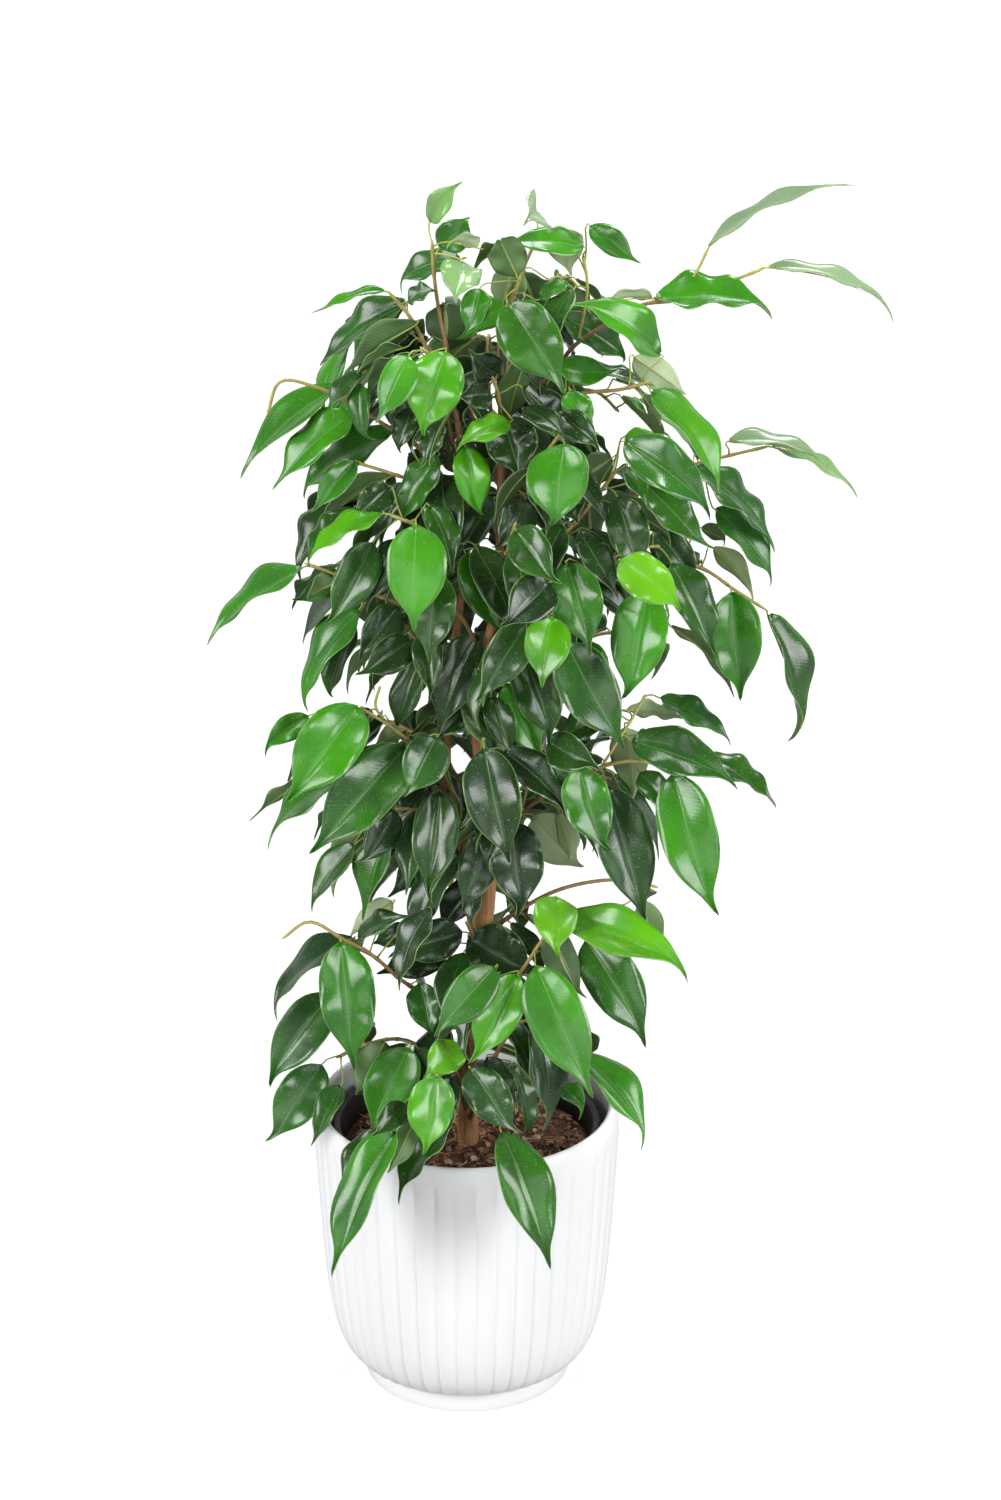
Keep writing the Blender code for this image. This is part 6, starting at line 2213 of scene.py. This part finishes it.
@dataclass
class Foliage:
    """Every spray as one piece of leaves with their stalks, and all the twigs as one piece."""

    canopy: Canopy
    stalk_radius: float = 0.00062
    stalk_shares: tuple[float, ...] = (1.25, 0.95, 0.9, 0.95, 1.05, 0.8, 0.65, 0.55, 0.4, 0.25)
    ridge_reach: float = 0.72
    ridge_sink: float = 0.00045
    rear_variety: float = 0.24
    stances: Profile = (
        (1.0, 0.0), (0.75, 0.0), (0.5, 0.0), (0.5, 3.0), (0.5, -3.0), (0.0, 0.0), (0.25, 5.0), (0.25, -5.0),
        (0.25, 8.0), (0.25, -8.0), (0.0, 11.0), (0.0, -11.0), (0.0, 15.0), (0.0, -15.0),
    )
    chance: random.Random = field(default_factory=lambda: random.Random(SEED + 3))

    def form_leaves(self) -> int:
        """Give every leaf its form: plainer or a little aside where it would cut through another leaf.

        Returns:
            How many leaves still cut through another one.
        """
        faces = [tuple(face.vertices) for face in self.model.model.data.polygons]
        ranked = sorted(
            ((number >= branch.own, branch.name.startswith("rear"), order, number)
             for order, branch in enumerate(self.canopy.branches) for number in range(len(branch.blades))),
        )
        lows, highs, shells, cutting = np.empty((0, 3)), np.empty((0, 3)), [], 0
        self.forms: dict[tuple[str, int], tuple[np.ndarray, float]] = {}
        for _, _, order, number in ranked:
            branch = self.canopy.branches[order]
            habit = [self.chance.uniform(-1.0, 1.0) for _ in range(7)]
            blade, best = branch.blades[number], None
            for ease, lift in self.stances:
                shift = blade.face * (lift * MM)
                moved = replace(blade, base=blade.base + shift, tip=blade.tip + shift) if lift else blade
                form = self.model.bend(moved, habit, ease)
                low, high = form.min(axis=0), form.max(axis=0)
                shell = BVHTree.FromPolygons(form.tolist(), faces)
                close = np.nonzero(((lows < high) & (highs > low)).all(axis=1))[0]
                cuts = sum(len(shell.overlap(shells[other])) for other in close)
                if best is None or cuts < best[0]:
                    best = (cuts, form, ease, low, high, shell, moved)
                if not cuts:
                    break
            cutting += bool(best[0])
            self.forms[branch.name, number], branch.blades[number] = best[1:3], best[6]
            lows, highs = np.vstack((lows, best[3])), np.vstack((highs, best[4]))
            shells.append(best[5])
        return cutting

    def leaf_materials(self) -> list[Material]:
        """Make a leaf's materials in the order of its sides.

        Returns:
            The materials.
        """
        stalk = ShootFinish("leaf_stalk", (
            (0.0, (0.10, 0.16, 0.03)), (0.5, (0.24, 0.32, 0.06)), (1.0, (0.44, 0.52, 0.08)),
        ))
        finishes = {
            LeafSide.UPPER: LeafUpperFinish(), LeafSide.UNDER: LeafUnderFinish(),
            LeafSide.EDGE: LeafEdgeFinish(), LeafSide.STALK: stalk,
        }
        return [finishes[side].material() for side in LeafSide]

    def stalk_route(self, blade: Blade, ease: float) -> Route:
        """Lead a leaf's stalk from its twig to the blade, and on as the ridge under its midrib.

        Args:
            blade: The placed leaf.
            ease: How far it leaves its solid's plain form, from 0 to 1.

        Returns:
            The places along the stalk's middle.
        """
        length = (blade.tip - blade.base).length
        lift = (self.model.bow - DROOP) * ease * length * 4.0
        way = (blade.frame(0.05)[0] - blade.base + blade.face * (0.05 * lift)).normalized()
        reach = (blade.base - blade.root).length
        guide = [
            blade.root, blade.root.lerp(blade.base, 0.35) + Vector((0.0, 0.0, 0.06 * reach)),
            blade.base - way * min(0.25 * reach, 0.004) - blade.face * 0.0004,
        ]
        fold = KEEL + (self.model.fold_of(blade) - KEEL) * ease
        for share in (0.04, 0.2, 0.45, self.ridge_reach):
            place, _, face = blade.frame(share)
            part = float(np.interp(share, *zip(*self.model.outline)))
            sink = (fold - self.model.settling * (fold - KEEL)) * blade.width / self.model.full_width
            down = face * (sink * part ** 0.5 + self.ridge_sink)
            guide.append(place + blade.face * (lift * share * (1.0 - share)) - down)
        return smooth_route(guide, 24)

    def build_spray(self, branch: Branch, stalk: Tube, materials: Sequence[Material]) -> None:
        """Build one spray's leaves and stalks.

        Args:
            branch: The placed spray.
            stalk: The stalk's model.
            materials: A leaf's materials.
        """
        vary = self.rear_variety if branch.name.startswith("rear") else 0.0
        placed = []
        for number, blade in enumerate(branch.blades):
            tone = blade.tone + vary * math.sin(1490.0 * (blade.tip.x + blade.tip.z))
            placed.append(self.model.place(self.forms[branch.name, number][0], tone))
        leaves = join(placed, "leaves_" + branch.name)
        for material in materials:
            leaves.data.materials.append(material)
        self.model.thicken(leaves)
        stalks = []
        for number, blade in enumerate(branch.blades):
            radii = [self.stalk_radius * share for share in self.stalk_shares]
            tones = (0.35 + 0.5 * blade.tone, 0.55 + 0.5 * blade.tone, 0.5 + 0.4 * blade.tone)
            route = self.stalk_route(blade, self.forms[branch.name, number][1])
            stalks.append(stalk.lay("stalk", route, radii, tones))
        stems = join(stalks, "stalks")
        for material in materials:
            stems.data.materials.append(material)
        stems.data.polygons.foreach_set("material_index", [LeafSide.STALK.value] * len(stems.data.polygons))
        piece = join([leaves, stems], "leaves_" + branch.name)
        dress(piece, materials, "leaf_green", "leafy_" + branch.name)

    def build_twigs(self) -> None:
        """Build the twigs of every spray as one piece."""
        wood = Tube("twig_model", 8, 44)
        tubes = []
        for branch in self.canopy.branches:
            for number, (route, radii) in enumerate(branch.twigs):
                smooth = smooth_route(route, 90)
                thickness = np.interp(np.linspace(0, 1, 45), np.linspace(0, 1, len(radii)), radii)
                for blade in branch.blades:
                    distance, _, index, _ = nearest_on(smooth, blade.root)
                    if distance < 0.003:
                        thickness[max(1, min(43, round(index / 89 * 44)))] *= 1.22
                thickness[-1] *= 0.35
                tones = (0.05, 0.2, 0.5, 0.8) if number == 0 else (0.55, 0.8, 0.95)
                tubes.append(wood.lay("twig", smooth, thickness, tones))
        twigs = join(tubes, "twigs")
        finish = ShootFinish("twig_bark", (
            (0.0, (0.150, 0.075, 0.035)), (0.35, (0.300, 0.180, 0.075)), (0.7, (0.400, 0.330, 0.100)),
            (1.0, (0.420, 0.470, 0.110)),
        ), 0.6, 0.0004)
        dress(twigs, [finish.material()], "bark")
        wood.discard()

    def build(self) -> None:
        """Build the sprays and the twigs."""
        self.model = LeafModel()
        LOG.info("%d leaves still cut through another one", self.form_leaves())
        stalk = Tube("stalk_model", 6, 13)
        materials = self.leaf_materials()
        for branch in self.canopy.branches:
            self.build_spray(branch, stalk, materials)
        self.build_twigs()
        stalk.discard()
        bpy.data.objects.remove(self.model.model)


@dataclass
class Stems:
    """The forked trunk with its leaders, grown into one piece of bark."""

    routes: list[Twig]
    voxel: float = 0.0012
    relief: float = 0.00035

    def build(self) -> None:
        """Build the stems."""
        wood = Tube("stem_model", 16, 90)
        tubes = []
        for route, radii in self.routes:
            taper = [*radii[:-1], radii[-1] * 0.7]
            tubes.append(wood.lay("stem", smooth_route(route, 160), taper, (0.5,)))
        wood.discard()
        stems = join(tubes, "stems")
        remesh = stems.modifiers.new("grow together", "REMESH")
        remesh.mode = "VOXEL"
        remesh.voxel_size = self.voxel
        smooth = stems.modifiers.new("smooth", "SMOOTH")
        smooth.iterations = 6
        apply_all(stems)
        normals = np.empty(len(stems.data.vertices) * 3)
        stems.data.vertices.foreach_get("normal", normals)
        places = places_of(stems)
        ridges = [noise.fractal(Vector((x * 380.0, y * 380.0, z * 70.0)), 1.0, 2.0, 3) for x, y, z in places]
        move_to(stems, places + normals.reshape(-1, 3) * (np.array(ridges) * self.relief)[:, None])
        finish_skin(stems, 60.0)
        dress(stems, [BarkFinish().material()], "bark", "trunk")


@dataclass
class Turned:
    """A round body turned from a profile by drawing a ring along it."""

    name: str
    profile: Profile
    steps: int

    def build(self) -> Piece:
        """Turn the body from its first profile point on the axis to its last.

        Returns:
            The body.
        """
        deselect()
        start = 0.0002
        low = self.profile[0][1]
        bpy.ops.mesh.primitive_circle_add(
            vertices=self.steps, radius=start, fill_type="NOTHING", location=(0.0, 0.0, low),
        )
        body = settle(bpy.context.object, self.name)
        start_edit(body)
        bpy.ops.mesh.select_all(action="SELECT")
        radius, height = start, low
        for to_radius, to_height in self.profile[1:]:
            to_radius = max(to_radius, start)
            rise = {"value": (0.0, 0.0, to_height - height)}
            bpy.ops.mesh.extrude_region_move(TRANSFORM_OT_translate=rise)
            scale = to_radius / radius
            bpy.ops.transform.resize(value=(scale, scale, 1.0), center_override=(0.0, 0.0, to_height))
            radius, height = to_radius, to_height
        bpy.ops.mesh.merge(type="CENTER")
        pick(body, lambda place: math.hypot(place.x, place.y) < 1.5 * start and abs(place.z - low) < 1e-5)
        bpy.ops.mesh.merge(type="CENTER")
        end_edit()
        return body


def along_profile(profile: Profile, step: float) -> Profile:
    """Add points to a profile so that none is further than a step from the next.

    Args:
        profile: Points of radius and height.
        step: The longest step.

    Returns:
        The points.
    """
    dense = [profile[0]]
    for start, end in zip(profile, profile[1:]):
        count = max(1, math.ceil(math.dist(start, end) / step))
        for index in range(1, count + 1):
            share = index / count
            dense.append((start[0] + (end[0] - start[0]) * share, start[1] + (end[1] - start[1]) * share))
    return dense


@dataclass
class OuterPot:
    """The white glazed pot: rounded reeds from its foot to its shoulder, and a rolled rim."""

    steps_per_reed: int = 10
    reed_depth: float = 0.0016
    reed_low: float = POT_FOOT_HEIGHT + 0.0008
    reed_high: float = 0.2065
    outside: Profile = (
        (0.0, 0.0), (0.066, 0.0), (0.0728, 0.0), (0.0741, 0.0004), (POT_FOOT_RADIUS, 0.0016),
        (POT_FOOT_RADIUS, 0.0136), (0.0750, POT_FOOT_HEIGHT), (0.0790, 0.0162), (0.0832, 0.0186),
        (0.0880, 0.0238), (0.0915, 0.0295), (0.0943, 0.0362), (0.0966, 0.0440), (0.0985, 0.0520),
        (0.1012, 0.0700), (0.1033, 0.0900), (0.1050, 0.1125), (0.1069, 0.1400), (0.1087, 0.1700),
        (0.1098, 0.1900), (0.1099, 0.1975), (0.1095, 0.2030), (0.1086, 0.2080), (0.1077, 0.2112),
        (0.1067, 0.2134), (0.1059, 0.2144), (0.1050, POT_HEIGHT),
    )
    inside: Profile = (
        (0.1042, 0.2149), (0.1034, 0.2143), (0.1026, 0.2132), (0.1022, 0.2110), (0.1035, 0.2030),
        (0.1053, 0.1900), (0.1010, 0.1200), (0.0960, 0.0700), (0.0935, 0.0500), (0.0865, 0.0310),
        (0.0790, 0.0215), (0.0740, POT_FLOOR), (0.040, POT_FLOOR), (0.0, POT_FLOOR),
    )

    def build(self) -> None:
        """Build the pot."""
        outer = along_profile(self.outside, 0.0048)
        steps = POT_RIBS * self.steps_per_reed
        pot = Turned("outer_pot", [*outer, *along_profile(self.inside, 0.012)], steps).build()
        places = places_of(pot)
        radius = np.hypot(places[:, 0], places[:, 1])
        turn = np.arctan2(places[:, 1], places[:, 0])
        heights = [height for _, height in self.outside]
        skin = np.interp(places[:, 2], heights, [width for width, _ in self.outside])
        on_skin = (radius > skin - 0.0012) & (places[:, 2] > self.reed_low) & (places[:, 2] < self.reed_high)
        phase = (turn / math.tau * POT_RIBS) % 1.0
        groove = np.abs(2.0 * phase - 1.0) ** 3.0
        fade = np.clip((self.reed_high - places[:, 2]) / 0.016, 0.0, 1.0)
        fade = fade * fade * (3.0 - 2.0 * fade)
        scale = 1.0 - np.where(on_skin, groove * self.reed_depth * fade, 0.0) / np.maximum(radius, 0.001)
        places[:, 0] *= scale
        places[:, 1] *= scale
        move_to(pot, places)
        finish_skin(pot, 50.0)
        dress(pot, [GlazeFinish().material()], "white_glaze", "cachepot")


@dataclass
class NurseryPot:
    """The black pot inside: a thin tapering wall, a rolled rim, and drain holes in its floor."""

    steps: int = 96

    def build(self) -> None:
        """Build the pot."""
        foot, floor = NURSERY_FOOT_Z, NURSERY_FOOT_Z + NURSERY_FLOOR
        top, rim = NURSERY_TOP_Z, NURSERY_RIM_RADIUS
        hollow = [(self.wall(height), height) for height in (0.1900, 0.1780, 0.1400, 0.0800, floor)]
        profile = [
            (0.0, foot), (0.030, foot), (0.060, foot), (0.0722, foot), (NURSERY_FOOT_RADIUS, foot + 0.0008),
            (0.0800, 0.080), (0.0870, 0.140),
            (NURSERY_TOP_RADIUS, top - 0.0140), (rim - 0.0012, top - 0.0128), (rim - 0.0002, top - 0.0116),
            (rim, top - 0.0100), (rim, top - 0.0022), (rim - 0.0004, top - 0.0008), (rim - 0.0014, top),
            (rim - 0.0034, top - 0.0001), (rim - 0.0048, top - 0.0008), (rim - 0.0055, top - 0.0020),
            *hollow, (0.060, floor), (0.030, floor), (0.0, floor),
        ]
        pot = Turned("nursery_pot_fine", profile, self.steps).build()
        finish_skin(pot, 40.0)
        self.drill(pot)
        dress(pot, [PlasticFinish().material()], "black_plastic", "nursery_pot")

    def wall(self, height: float) -> float:
        """Give the hollow's radius at a height.

        Args:
            height: The height.

        Returns:
            The radius.
        """
        floor = NURSERY_FOOT_Z + NURSERY_FLOOR
        share = (height - floor) / (NURSERY_TOP_Z - floor)
        return NURSERY_FOOT_RADIUS - NURSERY_WALL + (NURSERY_TOP_RADIUS - NURSERY_FOOT_RADIUS) * share

    def drill(self, pot: Piece) -> None:
        """Cut the drain holes.

        Args:
            pot: The pot.
        """
        drills = []
        for number in range(DRAIN_COUNT):
            turn = math.tau * number / DRAIN_COUNT
            place = (DRAIN_RING * math.cos(turn), DRAIN_RING * math.sin(turn), NURSERY_FOOT_Z)
            deselect()
            bpy.ops.mesh.primitive_cylinder_add(vertices=24, radius=DRAIN_RADIUS, depth=0.02, location=place)
            drills.append(settle(bpy.context.object, f"drill_{number}"))
        drill = join(drills, "drill")
        cut = pot.modifiers.new("drain", "BOOLEAN")
        cut.operation = "DIFFERENCE"
        cut.object = drill
        apply_all(pot)
        bpy.data.objects.remove(drill)


@dataclass
class Soil:
    """The potting soil: a closed uneven bed with loose crumbs and fibres over it."""

    trunk: tuple[float, float]
    crumbs: int = 860
    fibres: int = 760
    steps: int = 72
    rings: int = 26
    bare_round_trunk: float = 0.0078
    chance: random.Random = field(default_factory=lambda: random.Random(SEED + 5))

    def height(self, x: float, y: float) -> float:
        """Give the bed's height at a place.

        Args:
            x: Where it lies from left to right.
            y: Where it lies from front to back.

        Returns:
            The height.
        """
        heap = noise.fractal(Vector((x * 42.0, y * 42.0, 0.3)), 1.0, 2.0, 4)
        edge = math.hypot(x, y) / NURSERY_TOP_RADIUS
        return SOIL_LEVEL + 0.0012 + 0.0026 * heap - 0.0035 * max(0.0, edge - 0.8) / 0.2

    def build_bed(self) -> Piece:
        """Build the closed bed.

        Returns:
            The bed.
        """
        floor = NURSERY_FOOT_Z + NURSERY_FLOOR + GAP
        top = self.wall(SOIL_LEVEL)
        profile = [(0.0, floor), (0.050, floor), (self.wall(floor), floor), (self.wall(0.1), 0.1)]
        profile += [(top * (1.0 - ring / self.rings), SOIL_LEVEL) for ring in range(self.rings)]
        bed = Turned("soil_bed", [*profile, (0.0, SOIL_LEVEL)], self.steps).build()
        places = places_of(bed)
        for place in places:
            if place[2] > SOIL_LEVEL - 0.0001:
                place[2] = self.height(place[0], place[1])
        move_to(bed, places)
        finish_skin(bed, 60.0)
        give_number(bed, TONE, 0.18)
        return bed

    def wall(self, height: float) -> float:
        """Give the bed's radius at a height, just inside the pot."""
        return NurseryPot().wall(height) - 1.5 * GAP

    def scatter(self, model: Piece, count: int, sizes: tuple[float, float], flat: float) -> list[Piece]:
        """Scatter copies of a bit over the bed.

        Args:
            model: The bit, of unit size.
            count: How many copies to make.
            sizes: Their smallest and largest size.
            flat: How far they may tilt, in radians.

        Returns:
            The copies.
        """
        rest = places_of(model)
        copies = []
        draw = self.chance
        while len(copies) < count:
            turn = draw.uniform(0.0, math.tau)
            radius = (NURSERY_TOP_RADIUS - 0.008) * math.sqrt(draw.random())
            x, y = radius * math.cos(turn), radius * math.sin(turn)
            if math.hypot(x - self.trunk[0], y - self.trunk[1]) < self.bare_round_trunk:
                continue
            size = sizes[0] + (sizes[1] - sizes[0]) * draw.random() ** 2.2
            spin = Matrix.Rotation(draw.uniform(0.0, math.tau), 3, "Z")
            nod, lean = (Matrix.Rotation(draw.uniform(-flat, flat), 3, axis) for axis in "XY")
            stretch = np.array([size * draw.uniform(*ends) for ends in ((0.7, 1.3), (0.7, 1.3), (0.6, 1.0))])
            copy = copy_of(model, "bit")
            place = np.array((x, y, self.height(x, y) + size * draw.uniform(0.05, 0.35)))
            move_to(copy, (rest * stretch) @ np.array(spin @ (nod @ lean)).T + place)
            give_number(copy, TONE, min(1.0, max(0.0, draw.gauss(0.46, 0.28))))
            copies.append(copy)
        return copies

    def model_crumb(self) -> Piece:
        """Model one rough crumb.

        Returns:
            The crumb.
        """
        deselect()
        bpy.ops.mesh.primitive_uv_sphere_add(segments=7, ring_count=5, radius=0.5, location=(0.0, 0.0, 0.0))
        crumb = settle(bpy.context.object, "crumb_model")
        places = places_of(crumb)
        rough = [1.0 + 0.45 * noise.noise(Vector(place) * 3.1) for place in places]
        move_to(crumb, places * np.array(rough)[:, None])
        return crumb

    def model_fibre(self) -> Piece:
        """Model one curved fibre.

        Returns:
            The fibre.
        """
        strand = Tube("strand_model", 4, 7)
        guide = ((-0.5, 0.0, 0.0), (-0.2, 0.10, 0.06), (0.15, 0.02, 0.09), (0.5, -0.12, 0.0))
        route = smooth_route([Vector(place) for place in guide], 16)
        fibre = strand.lay("fibre_model", route, (0.02, 0.05, 0.045, 0.03, 0.012), (0.5,))
        strand.discard()
        return fibre

    def build(self) -> None:
        """Build the bed and its loose bits."""
        bed_material = SoilFinish("soil_bed").material()
        bed = self.build_bed()
        dress(bed, [bed_material], "potting_soil", "soil")
        crumb, fibre = self.model_crumb(), self.model_fibre()
        bits = self.scatter(crumb, self.crumbs, (0.0018, 0.0075), 0.5)
        bits += self.scatter(fibre, self.fibres, (0.0050, 0.0170), 0.45)
        loose = join(bits, "soil_bits")
        bpy.data.objects.remove(crumb)
        bpy.data.objects.remove(fibre)
        dress(loose, [SoilFinish("soil_bits").material()], "potting_soil")


@dataclass(frozen=True)
class SoftLight:
    """One broad soft light, far away so that it lights the whole floor evenly."""

    name: str
    azimuth: float
    elevation: float
    spread: float
    strength: float

    def hang(self) -> None:
        """Hang the light. Its azimuth runs from the camera's side towards the right."""
        light = bpy.data.lights.new(self.name, "SUN")
        light.angle = math.radians(self.spread)
        light.energy = self.strength
        lamp = bpy.data.objects.new(self.name, light)
        turn, rise = math.radians(self.azimuth), math.radians(self.elevation)
        way = Vector((math.sin(turn) * math.cos(rise), -math.cos(turn) * math.cos(rise), math.sin(rise)))
        lamp.location = way * 4.0
        lamp.rotation_euler = way.to_track_quat("Z", "Y").to_euler()
        bpy.context.collection.objects.link(lamp)


@dataclass
class Studio:
    """The white floor, the soft lights and the camera at the photograph's angle."""

    floor_side: float = 60.0
    lens_mm: float = 112.4
    backdrop: float = 1.05
    dome: float = 0.10
    lights: tuple[SoftLight, ...] = (
        SoftLight("left_light", -57.0, 28.0, 34.0, 2.65),
        SoftLight("right_light", 60.0, 23.0, 34.0, 2.4),
        SoftLight("top_light", 165.0, 66.0, 22.0, 2.55),
        SoftLight("front_light", 4.0, 10.0, 50.0, 0.95),
    )

    def build(self) -> None:
        """Build the studio."""
        deselect()
        bpy.ops.mesh.primitive_plane_add(size=self.floor_side, location=(0.0, 0.0, 0.0))
        floor = settle(bpy.context.object, "studio_floor")
        floor.data.materials.append(FloorFinish().material())
        self.hang_backdrop()
        for light in self.lights:
            light.hang()
        self.set_camera()
        bpy.context.scene.view_settings.view_transform = "Standard"

    def hang_backdrop(self) -> None:
        """Surround the scene: white where it shows, and lit from a white backdrop behind the plant."""
        world = bpy.data.worlds.new("backdrop")
        world.use_nodes = True
        sheet = NodeSheet(world.node_tree)
        way = sheet.node("ShaderNodeTexCoord").outputs["Generated"]
        parts = sheet.node("ShaderNodeSeparateXYZ", Vector=way).outputs
        seen = sheet.node("ShaderNodeLightPath").outputs["Is Camera Ray"]
        upward = sheet.spread(parts["Z"], 0.25, 0.65, self.backdrop, self.dome, "SMOOTHSTEP")
        behind = sheet.spread(parts["Y"], 0.05, 0.60, self.dome, upward, "SMOOTHSTEP")
        background = sheet.tree.nodes["Background"]
        background.inputs["Color"].default_value = (1.0, 1.0, 1.0, 1.0)
        sheet.feed(background.inputs["Strength"], sheet.spread(seen, 0.0, 1.0, behind, 1.0, "SMOOTHSTEP"))
        bpy.context.scene.world = world

    def set_camera(self) -> None:
        """Set the camera where the photograph's was."""
        lens = bpy.data.cameras.new("photo_camera")
        lens.lens = self.lens_mm
        lens.sensor_width = 36.0
        camera = bpy.data.objects.new("photo_camera", lens)
        camera.location = CAMERA_PLACE
        camera.rotation_euler = (math.radians(90.0) - CAMERA_PITCH, 0.0, 0.0)
        bpy.context.collection.objects.link(camera)
        bpy.context.scene.camera = camera


def main() -> None:
    """Build every piece in order and keep the sizes."""
    logging.basicConfig(level=logging.INFO, format="%(message)s")
    Studio().build()
    canopy = Canopy()
    canopy.grow()
    for branch in canopy.branches:
        branch.own = len(branch.blades)
    shown = sum(branch.own for branch in canopy.branches)
    infill = Infill(canopy)
    infill.add_seen()
    added = infill.grow()
    infill.bring_forward()
    LOG.info("%d leaves of the solids, %d inner leaves", shown, added)
    Foliage(canopy).build()
    Stems(canopy.stems).build()
    OuterPot().build()
    NurseryPot().build()
    trunk_foot = canopy.stems[0][0][0]
    Soil((trunk_foot.x, trunk_foot.y)).build()
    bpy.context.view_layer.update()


if __name__ == "__main__":
    main()
